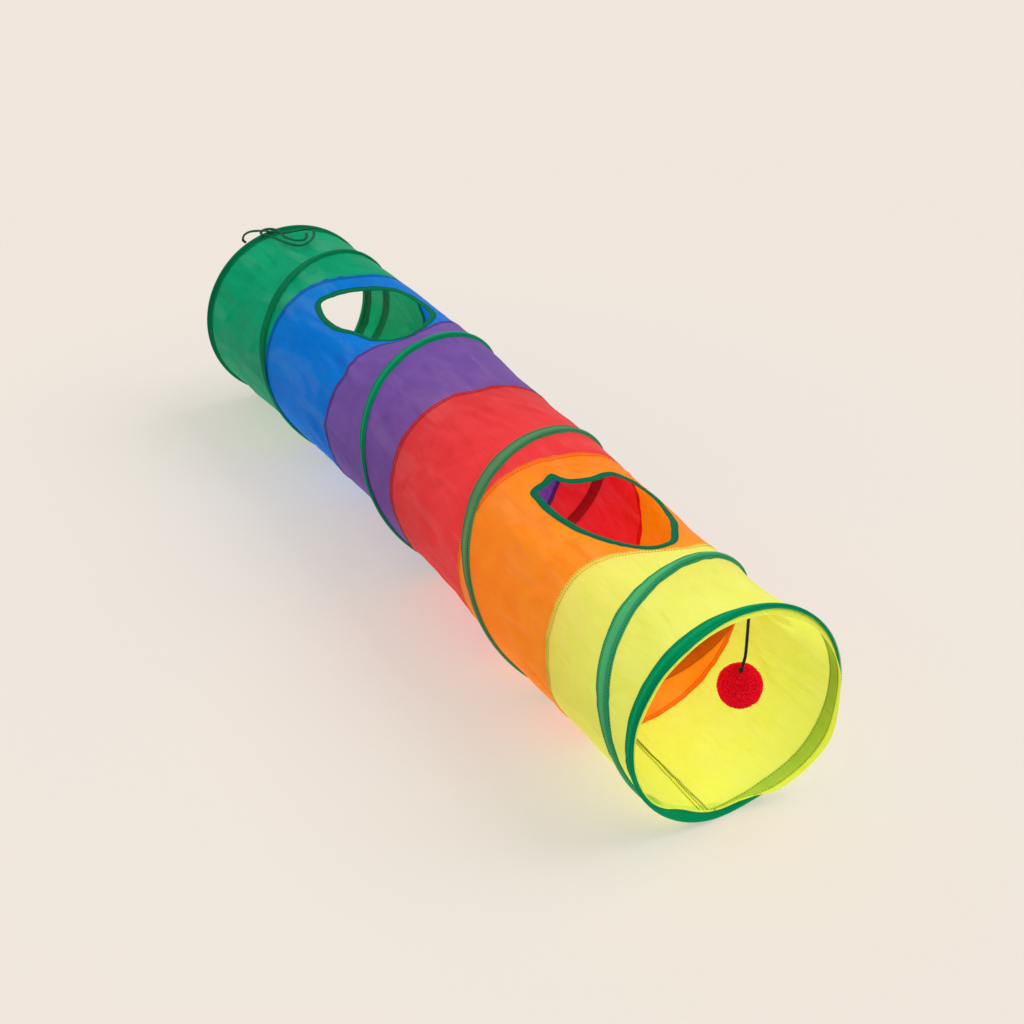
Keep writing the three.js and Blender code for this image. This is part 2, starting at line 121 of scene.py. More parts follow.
# Peepholes: the outer edge of the binding
HOLES = {
    "blue": [
        (-936, 122), (-947, 108), (-949, 92), (-941, 75), (-927, 62), (-900, 55), (-862, 53.5), (-825, 59),
        (-801, 71), (-793, 86), (-798, 100), (-813, 112), (-846, 120), (-868, 126), (-902, 127),
    ],
    "orange": [
        (-334, 117), (-343, 107), (-351, 99.5), (-341, 96), (-333, 90), (-331, 82), (-335, 72),
        (-338, 62), (-315, 51), (-264, 48.5), (-214, 56), (-173, 71), (-168, 88), (-196, 102),
        (-236, 113), (-290, 117.5),
    ],
}
BINDING_WIDTH = 8.8 * MM

# Pom-pom and cords
POM_RADIUS = 23.6 * MM
POM_CENTRE = Vector((-11, 9, 26.5)) * MM
POM_CORD_RADIUS = 1.7 * MM
POM_CORD_ROUTE = [
    (-11, 15, 117.4), (-11.4, 14.6, 105), (-11.2, 14.2, 90), (-10.6, 13.6, 76), (-10, 12.6, 62),
    (-8.8, 9.8, 53.4), (-7, 7.2, 50.6), (-5.4, 4.9, 48.9), (-4.2, 3.2, 46.6),
]
KNOT_PLACE = Vector((-5.8, 5.6, 49.6)) * MM
KNOT_SIZE = 0.75 * MM
KNOT_CORD_RADIUS = 1.1 * MM
TIE_HALF_WIDTH = 2.2 * MM
TIE_HALF_THICKNESS = 1.2 * MM
TIE_CORD_ROUTE = [
    (-1135, 73, 128.6), (-1131, 80, 127.4), (-1128, 88, 126.8), (-1129, 95, 127.2), (-1138, 100, 128.8),
    (-1150, 104, 129.8), (-1161, 108, 130.4), (-1167, 112, 131.4), (-1170, 115.5, 129.6),
    (-1170, 117.5, 124.6), (-1167.5, 117, 119.6),
]
TIE_LOOP_ROUTE = [
    (-1126, 76, 126.4), (-1108, 80, 124.8), (-1090, 87, 124.2), (-1082, 94, 124), (-1092, 98.5, 124.4),
    (-1112, 101.5, 125.4), (-1132, 104, 127.8), (-1147, 107, 129.2), (-1153, 105.5, 130.4),
    (-1149, 101, 130.6), (-1136, 98, 129.6), (-1118, 97.5, 126), (-1103, 94.5, 124.6),
    (-1097, 90, 124.6), (-1104, 86, 125), (-1118, 83, 125.4),
]

pom_low, pom_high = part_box("pom_pom")
FRONT = (pom_low + pom_high) / 2 - POM_CENTRE

# Camera

CAMERA_PLACE = Vector((1359.5, -986.1, 1166.4)) * MM
CAMERA_AZIMUTH = math.radians(61.76)
CAMERA_ELEVATION = math.radians(29.27)
CAMERA_LENS = 70.95
SENSOR_WIDTH = 36


def make_camera():
    camera = bpy.data.objects.new("camera", bpy.data.cameras.new("camera"))
    camera.data.lens = CAMERA_LENS
    camera.data.sensor_width = SENSOR_WIDTH
    camera.data.sensor_fit = "HORIZONTAL"
    back = Vector((
        math.sin(CAMERA_AZIMUTH) * math.cos(CAMERA_ELEVATION),
        -math.cos(CAMERA_AZIMUTH) * math.cos(CAMERA_ELEVATION),
        math.sin(CAMERA_ELEVATION),
    ))
    camera.location = FRONT + CAMERA_PLACE
    camera.rotation_euler = (-back).to_track_quat("-Z", "Y").to_euler()
    bpy.context.scene.collection.objects.link(camera)
    bpy.context.scene.camera = camera


make_camera()

# The tunnel's shape


def wrap(angle):
    return np.mod(angle, 360)


def smooth(t):
    return t * t * (3 - 2 * t)


def step_between(value, low, high):
    return smooth(np.clip((value - low) / (high - low), 0, 1))


def around_value(table, angle):
    table = np.asarray(table, float)
    step = wrap(angle) / (360 / len(table))
    low = np.floor(step).astype(int) % len(table)
    part = smooth(step - np.floor(step))
    return table[low] * (1 - part) + table[(low + 1) % len(table)] * part


def coil_slopes():
    """Slope of the wire at each quarter turn: the harmonic mean of the slopes on its two sides."""
    steps = np.diff(COIL_X)
    slopes = np.zeros(len(COIL_X))
    slopes[1:-1] = 2 * steps[:-1] * steps[1:] / (steps[:-1] + steps[1:])
    return slopes


COIL_SLOPES = coil_slopes()


def coil_x(angle):
    """Place of the wire along the tunnel at an angle that counts whole turns."""
    quarters = np.clip((np.asarray(angle, float) - COIL_START) / QUARTER_TURN, 0, len(COIL_X) - 1)
    index = np.minimum(np.floor(quarters).astype(int), len(COIL_X) - 2)
    t = quarters - index
    rise = smooth(t)
    return (
        COIL_X[index] * (1 - rise) + COIL_X[index + 1] * rise
        + COIL_SLOPES[index] * t * (1 - t) ** 2 - COIL_SLOPES[index + 1] * t * t * (1 - t)
    )


def between_wires(x, angle):
    """Where a place lies between the two turns of wire beside it, from 0 to 1, and their distance."""
    x, angle = np.broadcast_arrays(np.asarray(x, float), np.asarray(angle, float))
    first = FIRST_TURN + wrap(angle - FIRST_TURN)
    wires = [np.full_like(x, -COIL_LENGTH)]
    wires += [coil_x(first + 360 * turn) for turn in range(TURNS)]
    wires = np.stack(wires + [np.zeros_like(x)])
    index = np.clip((wires <= x).sum(0) - 1, 0, TURNS)
    low = np.take_along_axis(wires, index[None], 0)[0]
    high = np.take_along_axis(wires, index[None] + 1, 0)[0]
    return np.clip((x - low) / (high - low), 0, 1), high - low


def sag_depth(x, angle):
    depths = np.stack([around_value(row, angle) for row in SAG_DEPTH])
    place = np.interp(x, SAG_X, np.arange(len(SAG_X)))
    index = np.minimum(np.floor(place).astype(int), len(SAG_X) - 2)
    part = smooth(place - index)
    low = np.take_along_axis(depths, index[None], 0)[0]
    high = np.take_along_axis(depths, index[None] + 1, 0)[0]
    return low * (1 - part) + high * part


def smooth_radius(x, angle):
    """Outer radius of the cloth without its creases."""
    x, angle = np.broadcast_arrays(np.asarray(x, float), np.asarray(angle, float))
    t, gap = between_wires(x, angle)
    slack = np.minimum(gap / FULL_GAP, 1) ** SLACK_POWER
    return UNDER_WIRE - sag_depth(x, angle) * slack * 4 * t * (1 - t)


def sway(x):
    along = np.clip(-x / COIL_LENGTH, 0, 1)
    return SWAY_BOW * np.sin(np.pi * along) + SWAY_WAVE * np.sin(2 * np.pi * along)


def angle_from(start, angle):
    return wrap(angle - start + 180) - 180


def arc(angle):
    """Length round the tunnel."""
    return np.radians(angle) * COIL_RADIUS


def arc_angle(length):
    return np.degrees(length / COIL_RADIUS)


def bell(along, around=0):
    """A smooth hump, 1 at 0 and nearly nothing past 2."""
    return np.exp(-along ** 2 - around ** 2)


def place(x, angle, radius):
    """Points in the frame, from the place along the tunnel, the angle round it and the radius."""
    dent = (x - DENT_X) / DENT_ALONG, angle_from(DENT_ANGLE, angle) / DENT_AROUND
    push = np.minimum(x, 0) / PUSH_ALONG, angle_from(PUSH_ANGLE, angle) / PUSH_AROUND
    dent, push = DENT_DEPTH * bell(*dent), PUSH_DEPTH * bell(*push)
    turned = np.radians(angle)
    reach = radius - dent
    return np.stack(np.broadcast_arrays(
        FRONT.x + x - push,
        FRONT.y + sway(x) + reach * np.cos(turned),
        FRONT.z + reach * np.sin(turned),
    ), -1)


def place_hemmed(x, angle, radius, turn_in):
    """As place, but what lies past a mouth's wire turns in round that wire."""
    front = x > -COIL_LENGTH / 2
    mouth = np.where(front, 0, -COIL_LENGTH)
    outward = np.where(front, x - mouth, mouth - x)
    full = np.where(front, around_value(turn_in["front"], angle), around_value(turn_in["back"], angle))
    turn = np.radians(full * np.clip((outward - TURN_START) / TURN_REACH, 0, 1))
    height = radius - COIL_RADIUS
    turned_out = outward * np.cos(turn) + height * np.sin(turn)
    turned_height = height * np.cos(turn) - outward * np.sin(turn)
    turned_x = np.where(front, mouth + turned_out, mouth - turned_out)
    return place(turned_x, angle, COIL_RADIUS + turned_height)


def seam_x(seam, angle):
    return seam.x + seam.pull * bell(angle_from(seam.angle, angle) / seam.spread)


# Uneven lines: smooth noise from 0 round to 360 degrees, or along a length


def wavy(seed, count, at):
    """Smooth noise from -1 to 1 at positions that go from 0 to 1 and round again, with count swings."""
    values = np.random.default_rng(seed).uniform(-1, 1, count)
    step = np.mod(at, 1) * count
    low = np.floor(step).astype(int) % count
    part = smooth(step - np.floor(step))
    return values[low] * (1 - part) + values[(low + 1) % count] * part


def wavy_field(seed, along_count, around_count, along, around):
    """Smooth noise over the cloth, from about -1 to 1, with so many swings along it and round it."""
    turned = np.random.default_rng(seed).uniform(0, 2 * np.pi, (along_count + 2, around_count))
    u = np.clip(along, 0, 1) * along_count
    v = np.mod(around, 1) * around_count
    low_u, low_v = np.floor(u).astype(int), np.floor(v).astype(int) % around_count
    part_u, part_v = u - np.floor(u), v - np.floor(v)

    def corner(step_u, step_v):
        direction = turned[low_u + step_u, (low_v + step_v) % around_count]
        return np.cos(direction) * (part_u - step_u) + np.sin(direction) * (part_v - step_v)

    share_u, share_v = smooth(part_u), smooth(part_v)
    near = corner(0, 0) * (1 - share_v) + corner(0, 1) * share_v
    far = corner(1, 0) * (1 - share_v) + corner(1, 1) * share_v
    return 1.6 * (near * (1 - share_u) + far * share_u)


# Cloth's creases

Crease = namedtuple("Crease", "x angle turn length width depth")
# By panel, in these six measures: millimetres and degrees
CREASES = {
    "green": [
        (-1120, 140, 6, 55, 8, 1.6), (-1098, 150, 0, 48, 7, -1.5), (-1085, 118, 12, 40, 6, 1.4),
        (-1077, 103, 9, 34, 6, -1.3), (-1125, 60, -70, 22, 6, 1.2), (-986, 103, 2, 22, 5, -2),
        (-1005, 107, -88, 15, 5, 1.8), (-997, 94, -51, 20, 5, 2), (-967, 135, 15, 24, 5, -1.5),
        (-1002, 77, -67, 26, 6, 1.6), (-978, 92, 35, 20, 4.5, -1.6),
    ],
    "blue": [
        (-815, 143, 15, 58, 8, 1.8), (-787, 137, 8, 59, 7, -1.6), (-823, 187, 26, 45, 9, 1.8),
        (-734, 156, 29, 38, 7, -1.5), (-770, 160, -30, 30, 7, 1.4), (-880, 150, 40, 34, 7, 1.3),
        (-930, 160, -20, 30, 6, -1.2),
    ],
    "purple": [
        (-737, 146, 0, 56, 8, 1.8), (-771, 131, 6, 35, 6, -1.5), (-634, 86, -51, 47, 8, 1.8),
        (-604, 130, 0, 29, 7, 1.3), (-590, 157, 19, 26, 6, -1.2), (-676, 67, -71, 31, 7, -1.5),
        (-655, 110, -30, 40, 8, 1.4),
    ],
    "red": [
        (-512, 96, -18, 69, 7, 2.2), (-516, 103, -11, 39, 5, -1.8), (-558, 84, -43, 34, 6, 1.8),
        (-518, 122, -11, 41, 7, 1.6), (-478, 146, -18, 34, 6, -1.4), (-481, 174, 7, 48, 9, 1.6),
        (-440, 115, -109, 18, 6, 1.2), (-540, 45, -3, 37, 7, 1.6), (-500, 70, -35, 40, 6, -1.6),
    ],
    "orange": [
        (-266, 128, 7, 57, 8, 1.8), (-285, 138, 9, 38, 6, -1.6), (-372, 94, 5, 16, 5, 1.6),
        (-334, 128, 6, 33, 6, 1.6), (-196, 122, -126, 19, 6, 1.4), (-249, 175, 31, 39, 9, 1.6),
        (-213, 119, -4, 37, 6, -1.6), (-367, 67, -72, 19, 6, 1.5), (-230, 150, -35, 36, 8, 1.4),
    ],
    "yellow": [
        (-102, 138, 25, 26, 7, 1.3), (-108, 109, 7, 25, 6, -1.2), (-61, 80, -32, 40, 6, 1.5),
        (-110, 167, 37, 34, 8, 1.3), (-82, 16, 12, 30, 5, 1.8), (-98, 342, -35, 36, 8, 1.3),
    ],
    "far side, behind the orange peephole": [
        (-413, 1, -75, 40, 4, 2.4), (-384, 3, -77, 36, 4, -2.2), (-356, 8, -69, 25, 4, 2.2),
        (-474, 346, -30, 18, 5, 1.6), (-442, 350, -50, 25, 5, 1.6),
    ],
}
CREASE_STRENGTH = 1.4
MINOR_CREASES = 170
CREASE_SEED = 7


def crease_height(crease, x, angle):
    """How far a soft trough (or ridge, where its depth is negative) lowers the cloth."""
    along = x - crease.x
    around = arc(angle_from(crease.angle, angle))
    turn = np.radians(crease.turn)
    length = (along * np.cos(turn) + around * np.sin(turn)) / crease.length
    across = (around * np.cos(turn) - along * np.sin(turn)) / crease.width
    taper = np.clip(1 - length ** 2, 0, 1) ** 2
    bend = across - 0.8 * length ** 2
    return -crease.depth * taper * (bell(bend) - 0.45 * bell(bend - 1.8))


def minor_creases():
    rng = np.random.default_rng(CREASE_SEED)
    rows = []
    for _ in range(MINOR_CREASES):
        side = rng.choice([-1, 1])
        rows.append(Crease(
            x=-rng.uniform(0, COIL_LENGTH),
            angle=rng.uniform(0, 360),
            turn=side * rng.uniform(12, 62),
            length=rng.uniform(18, 56) * MM,
            width=rng.uniform(3, 7) * MM,
            depth=rng.choice([-1, 1]) * rng.uniform(0.5, 1.3) * MM,
        ))
    return rows


def in_metres(x, angle, turn, length, width, depth):
    return Crease(x * MM, angle, turn, length * MM, width * MM, depth * CREASE_STRENGTH * MM)


ALL_CREASES = [in_metres(*row) for rows in CREASES.values() for row in rows] + minor_creases()
PUCKER_COUNT = 84
BROAD_WAVE = 1.3 * MM
FINE_WAVE = 0.45 * MM
PUCKER = 0.9 * MM


def freedom(x, angle):
    """How free the cloth is there, from 0 at a wire to 1 midway between two turns."""
    t = between_wires(x, angle)[0]
    return np.sqrt(np.clip(4 * t * (1 - t), 0, 1))


def cloth_radius(x, angle):
    """Outer radius of the cloth with its creases, which die out at the wires."""
    x, angle = np.broadcast_arrays(np.asarray(x, float), np.asarray(angle, float))
    free = freedom(x, angle)
    along, around = -x / COIL_LENGTH, angle / 360
    height = BROAD_WAVE * wavy_field(11, 22, 15, along, around)
    height += FINE_WAVE * wavy_field(12, 60, 46, along, around)
    for crease in ALL_CREASES:
        near = np.abs(x - crease.x) < crease.length + 3 * crease.width
        if near.any():
            height[near] += crease_height(crease, x[near], angle[near])
    height *= free
    for number, seam in enumerate(SEAMS):
        away = np.abs(x - seam_x(seam, angle))
        height += PUCKER * wavy(20 + number, PUCKER_COUNT, around) * np.exp(-away / (9 * MM)) * free
    return smooth_radius(x, angle) + height

# Meshes


def mesh_of(name, points, faces):
    """A mesh from an array of points and an array of faces with as many corners each."""
    points, faces = np.asarray(points, np.float32), np.asarray(faces, np.int32)
    mesh = bpy.data.meshes.new(name)
    mesh.vertices.add(len(points))
    mesh.vertices.foreach_set("co", points.ravel())
    mesh.loops.add(faces.size)
    mesh.loops.foreach_set("vertex_index", faces.ravel())
    mesh.polygons.add(len(faces))
    mesh.polygons.foreach_set("loop_start", np.arange(len(faces), dtype=np.int32) * faces.shape[1])
    mesh.update(calc_edges=True)
    return mesh


def new_piece(name, points, faces, material, replaces=(), marks=None):
    """A piece of the object. marks are named numbers or vectors at its points, which its material reads."""
    mesh = mesh_of(name, points, faces)
    mesh.materials.append(material)
    mesh.shade_smooth()
    mesh.set_sharp_from_angle(angle=SHARP_ANGLE)
    for mark, values in (marks or {}).items():
        values = np.asarray(values, np.float32)
        vector = values.ndim == 2
        attribute = mesh.attributes.new(mark, "FLOAT_VECTOR" if vector else "FLOAT", "POINT")
        attribute.data.foreach_set("vector" if vector else "value", values.ravel())
    piece = bpy.data.objects.new(name, mesh)
    bpy.context.scene.collection.objects.link(piece)
    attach(piece, "root")
    if replaces:
        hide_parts(*replaces)
    return piece


def shell_faces(rows, columns, closed, keep=None):
    """Faces of a closed thin sheet on two grids of points, the outer one first. keep marks its cells."""
    cell_rows = rows if closed else rows - 1
    if keep is None:
        keep = np.ones((cell_rows, columns - 1), bool)
    framed = np.zeros((cell_rows + 2, columns + 1), bool)
    framed[1:-1, 1:-1] = keep
    if closed:
        framed[0, 1:-1], framed[-1, 1:-1] = keep[-1], keep[0]
    row, column = np.nonzero(keep)
    after = (row + 1) % rows
    a, b = row * columns + column, row * columns + column + 1
    d, e = after * columns + column, after * columns + column + 1
    inner = rows * columns
    faces = [np.stack([a, d, e, b], 1), np.stack([a, b, e, d], 1) + inner]
    sides = [
        (framed[1:-1, :-2], a, d), (framed[1:-1, 2:], e, b),
        (framed[:-2, 1:-1], b, a), (framed[2:, 1:-1], d, e),
    ]
    for beside, start, end in sides:
        open_side = ~beside[row, column]
        start, end = start[open_side], end[open_side]
        faces.append(np.stack([start, start + inner, end + inner, end], 1))
    return np.concatenate(faces)


def sheet_piece(name, outer, inner, closed, material, keep=None, replaces=(), marks=None):
    """A closed thin sheet between two grids of points. A mark is one grid of values or one a side."""
    rows, columns = outer.shape[:2]
    points = np.concatenate([outer.reshape(-1, 3), inner.reshape(-1, 3)])
    points[:, 2] = np.maximum(points[:, 2], FLOOR_CLEAR)
    faces = shell_faces(rows, columns, closed, keep)
    used = np.unique(faces)
    number = np.full(len(points), -1)
    number[used] = np.arange(len(used))
    flat_marks = {}
    for mark, values in (marks or {}).items():
        grids = values if isinstance(values, tuple) else (values, values)
        size = (3,) if np.ndim(grids[0]) == 3 else ()
        full = [np.broadcast_to(grid, (rows, columns) + size).reshape((-1,) + size) for grid in grids]
        flat_marks[mark] = np.concatenate(full)[used]
    return new_piece(name, points[used], number[faces], material, replaces, flat_marks)


def swept_piece(name, rings, closed, material, replaces=(), marks=None):
    """A tube of rings of points. An open one narrows to a point at each end."""
    rows, columns = rings.shape[:2]
    row, column = np.indices((rows if closed else rows - 1, columns)).reshape(2, -1)
    after, beside = (row + 1) % rows, (column + 1) % columns
    faces = np.stack([
        row * columns + column, row * columns + beside, after * columns + beside, after * columns + column,
    ], 1)
    points = rings.reshape(-1, 3)
    if not closed:
        points = np.concatenate([points, [rings[0].mean(0), rings[-1].mean(0)]])
        column = np.arange(columns)
        beside = (column + 1) % columns
        first, last = np.full(columns, rows * columns), np.full(columns, rows * columns + 1)
        tail = (rows - 1) * columns
        faces = np.concatenate([
            faces[:, [0, 1, 2]], faces[:, [0, 2, 3]],
            np.stack([column, first, beside], 1), np.stack([tail + beside, last, tail + column], 1),
        ])
    return new_piece(name, points, faces, material, replaces, marks)


def curve_points(route, count, closed=False):
    """Points at even steps along a smooth curve through a route's points."""
    route = np.asarray(route, float)
    spare = 0 if closed else 1
    if closed:
        padded = np.concatenate([route[-1:], route, route[:2]])
    else:
        padded = np.concatenate([2 * route[:1] - route[1:2], route, 2 * route[-1:] - route[-2:-1]])
    spans = len(route) - spare
    fine = []
    t = np.linspace(0, 1, 24, endpoint=False)[:, None]
    for k in range(spans):
        a, b, c, d = padded[k:k + 4]
        fine.append(0.5 * (
            2 * b + (c - a) * t + (2 * a - 5 * b + 4 * c - d) * t ** 2 + (3 * b - a - 3 * c + d) * t ** 3
        ))
    fine = np.concatenate(fine + [padded[spans + 1][None]])
    length = np.concatenate([[0], np.cumsum(np.linalg.norm(np.diff(fine, axis=0), axis=1))])
    at = np.linspace(0, length[-1], count, endpoint=not closed)
    return np.stack([np.interp(at, length, fine[:, k]) for k in range(fine.shape[1])], 1)


def line_length(points):
    return float(np.linalg.norm(np.diff(points, axis=0), axis=1).sum())


def unit(vectors):
    return vectors / np.maximum(np.linalg.norm(vectors, axis=-1, keepdims=True), 1e-9)


def carried_frames(points, closed=False):
    """Two directions across a line at each of its points, carried along it without twist."""
    if closed:
        along = unit(np.roll(points, -1, 0) - np.roll(points, 1, 0))
    else:
        along = unit(np.gradient(points, axis=0))
    start = np.cross(along[0], (0.3, 0.2, 1))
    sides = [start / np.linalg.norm(start)]
    for direction in along[1:]:
        side = sides[-1] - direction * sides[-1].dot(direction)
        sides.append(side / np.linalg.norm(side))
    sides = np.array(sides)
    return sides, np.cross(along, sides)


def tube_rings(points, radii, sides, closed=False):
    """Rings of a tube round a line. radii is one number, or one for each side at each point."""
    across, over = carried_frames(points, closed)
    angles = np.linspace(0, 2 * np.pi, sides, endpoint=False)[None]
    return (
        points[:, None]
        + (radii * np.cos(angles))[..., None] * across[:, None]
        + (radii * np.sin(angles))[..., None] * over[:, None]
    )


# Materials


def rgb(red, green, blue):
    """A colour given from 0 to 255 as on a screen, as the linear numbers of a shader."""
    def linear(value):
        share = value / 255
        return share / 12.92 if share <= 0.04045 else ((share + 0.055) / 1.055) ** 2.4
    return (linear(red), linear(green), linear(blue), 1)


def add_node(material, kind, inputs=None, **settings):
    """Adds a shader node. Its inputs are filled with numbers or from the outputs of other nodes."""
    node = material.node_tree.nodes.new("ShaderNode" + kind)
    for name, value in settings.items():
        setattr(node, name, value)
    for name, value in (inputs or {}).items():
        if isinstance(value, bpy.types.NodeSocket):
            material.node_tree.links.new(value, node.inputs[name])
        else:
            node.inputs[name].default_value = value
    return node


def new_material(name):
    material = bpy.data.materials.new(name)
    material.use_nodes = True
    material.node_tree.nodes.clear()
    return material


def set_surface(material, inputs, glow=0.0):
    """Gives a material its surface. glow is the share of it that lets light through, as thin cloth does."""
    shader = add_node(material, "BsdfPrincipled", inputs).outputs[0]
    if glow:
        through = add_node(material, "BsdfTranslucent", {
            "Color": inputs["Base Color"], "Normal": inputs["Normal"],
        }).outputs[0]
        shader = add_node(material, "MixShader", {0: glow, 1: shader, 2: through}).outputs[0]
    add_node(material, "OutputMaterial", {"Surface": shader})


def object_place(material):
    return add_node(material, "TexCoord").outputs["Object"]


def mark_of(material, name, output="Fac"):
    return add_node(material, "Attribute", attribute_name=name).outputs[output]


def ramp(material, value, low, high, start=0.0, end=1.0):
    """A smooth step from start, where the value is low, to end, where it is high."""
    node = add_node(
        material, "MapRange",
        {"Value": value, "From Min": low, "From Max": high, "To Min": start, "To Max": end},
        interpolation_type="SMOOTHSTEP",
    )
    return node.outputs["Result"]


def noise(material, place_on, scale, detail=2.0, distortion=0.0):
    node = add_node(
        material, "TexNoise",
        {"Vector": place_on, "Scale": scale, "Detail": detail, "Distortion": distortion},
    )
    return node.outputs["Fac"]


def mixed(material, share, first, second, blend="MIX"):
    node = add_node(
        material, "MixRGB", {"Fac": share, "Color1": first, "Color2": second}, blend_type=blend,
    )
    return node.outputs["Color"]


def bumped(material, height, strength, distance, under=None):
    inputs = {"Height": height, "Strength": strength, "Distance": distance}
    if under is not None:
        inputs["Normal"] = under
    return add_node(material, "Bump", inputs).outputs["Normal"]


def woven(material, flat, threads_scale, under, strength, distance):
    """A fine plain weave as a bump, from waves both ways over the flat cloth."""
    waves = [
        add_node(
            material, "TexWave", {"Vector": flat, "Scale": threads_scale, "Distortion": 0.4},
            bands_direction=direction,
        ).outputs["Fac"]
        for direction in ("X", "Y")
    ]
    height = mixed(material, 1.0, waves[0], waves[1], "MULTIPLY")
    return bumped(material, height, strength, distance, under)


WEAVE_SCALE = 620
CLOTH_ROUGHNESS = 0.33
CLOTH_GLOSS = 0.12
CLOTH_GLOW = 0.66
DOUBLED_SHADE_DEPTH = 0.5
EDGE_SOFTNESS = 0.5 * MM
FACET_TURNS = (38, -34)
FACET_SCALE = (7, 26, 1)
FACET_HEIGHT = 7 * MM
# Most white mixed into the cloth's colour as a painted sheen
PAINTED_SHEEN_SHARE = 0.05


def faceted(material, flat):
    """The facets of crumpled taffeta: long patches that cross at a slant, as a bump and as a painted pale
    sheen, the colour lightened towards white on their raised parts.
    """
    normal, sheen = None, 0.0
    for turn in FACET_TURNS:
        turned = add_node(material, "Mapping", {
            "Vector": flat, "Rotation": (0, 0, math.radians(turn)), "Scale": FACET_SCALE,
        }).outputs["Vector"]
        height = noise(material, turned, 1, 3, 0.4)
        normal = bumped(material, height, 0.8, FACET_HEIGHT, normal)
        share = ramp(material, height, 0.55, 0.66, 0.0, PAINTED_SHEEN_SHARE)
        sheen = add_node(material, "Math", {0: sheen, 1: share}, operation="MAXIMUM").outputs[0]
    return normal, sheen


def cloth_material(name, color, taped):
    """Thin shiny taffeta that lets light through. Its colour is deeper where it lies double, partly from
    the second layer and partly as painted shade; it has a painted pale sheen on its facets, and a painted
    shade on its inner face where a tape lies on its far side.
    """
    material = new_material(name)
    flat = mark_of(material, "flat", "Vector")
    mottle = noise(material, flat, 26, 3)
    edge = -EDGE_SOFTNESS, EDGE_SOFTNESS
    doubled = ramp(material, mark_of(material, "doubled"), *edge, 0.0, DOUBLED_SHADE_DEPTH)
    tape_shade_share = ramp(material, mark_of(material, "taped"), *edge)
    mottled = ramp(material, mottle, 0.3, 0.7, 0.0, 0.4)
    tone = mixed(material, mottled, color, (0.78, 0.78, 0.78, 1), "SOFT_LIGHT")
    facets, sheen = faceted(material, flat)
    # Painted sheen: the colour is mixed towards white on the facets' raised patches
    tone = mixed(material, sheen, tone, (1, 1, 1, 1))
    # Where the cloth lies double its colour is multiplied by itself: partly the second layer's own colour,
    # partly painted shade for the light that two layers hold back
    tone = mixed(material, doubled, tone, color, "MULTIPLY")
    # Painted shade: on the inner face the colour is multiplied by a tint where a tape on the far side holds
    # back the light
    tone = mixed(material, tape_shade_share, tone, taped, "MULTIPLY")
    crumple = noise(material, flat, 60, 4, 1.2)
    normal = bumped(material, crumple, 0.35, 1.5 * MM, facets)
    normal = woven(material, flat, WEAVE_SCALE, normal, 0.18, 0.12 * MM)
    set_surface(material, {
        "Base Color": tone,
        "Roughness": ramp(material, mottle, 0.25, 0.75, CLOTH_ROUGHNESS - 0.05, CLOTH_ROUGHNESS + 0.07),
        "Specular IOR Level": CLOTH_GLOSS,
        "Normal": normal,
    }, CLOTH_GLOW)
    return material


TAPE_COLOR = rgb(0, 162, 110)
TAPE_GLOW = 0.5
FOLDED_FROM = 0.55


def tape_material(folded_share):
    """Woven tape, folded under along its edges, which keep more of its own colour than its middle."""
    material = new_material("tape")
    flat = mark_of(material, "flat", "Vector")
    folded = ramp(
        material, mark_of(material, "across"), FOLDED_FROM - 0.05, FOLDED_FROM + 0.05, 0.0, folded_share,
    )
    tone = mixed(material, folded, mark_of(material, "under", "Color"), TAPE_COLOR)
    wear = ramp(material, noise(material, flat, 90, 3), 0.3, 0.7, 0, 0.3)
    tone = mixed(material, wear, tone, (0.6, 0.6, 0.6, 1), "SOFT_LIGHT")
    normal = bumped(material, noise(material, flat, 160, 2), 0.2, 0.6 * MM)
    normal = woven(material, flat, WEAVE_SCALE * 0.7, normal, 0.3, 0.15 * MM)
    set_surface(material, {
        "Base Color": tone, "Roughness": 0.5, "Specular IOR Level": 0.05, "Normal": normal,
    }, TAPE_GLOW)
    return material


def fibre_material(name, deep, light, scale, roughness, bump_depth, sheen=0.0):
    """Yarn, thread and cord: fine fibres lighten and darken it."""
    material = new_material(name)
    position = object_place(material)
    fibres = noise(material, position, scale, 3, 0.6)
    set_surface(material, {
        "Base Color": mixed(material, ramp(material, fibres, 0.32, 0.68), deep, light),
        "Roughness": roughness, "Specular IOR Level": 0.12, "Sheen Weight": sheen,
        "Normal": bumped(material, noise(material, position, scale * 2.4, 2), 0.5, bump_depth),
    })
    return material


def steel_material():
    material = new_material("spring_steel")
    drawn = noise(material, object_place(material), 900, 2)
    bright = ramp(material, drawn, 0.3, 0.7)
    set_surface(material, {
        "Base Color": mixed(material, bright, rgb(150, 152, 156), rgb(196, 198, 202)),
        "Metallic": 1.0, "Roughness": ramp(material, drawn, 0.3, 0.7, 0.22, 0.38),
        "Normal": bumped(material, drawn, 0.2, 0.05 * MM),
    })
    return material

# Pieces: cords first


def route_round(route):
    """Points of a route that is given as place along, angle round and distance from the axis."""
    route = np.array(route, float)
    return place(route[:, 0] * MM, route[:, 1], route[:, 2] * MM)


CORD_STEP = 0.9 * MM
FINE_STEPS = 400
RIBBON_SIDES = 12
TIE_TIP = 0.6
CORD_SIDES = 12
PLIES = 3
PLY_DEPTH = 0.16
LAY_LENGTH = 7 * MM


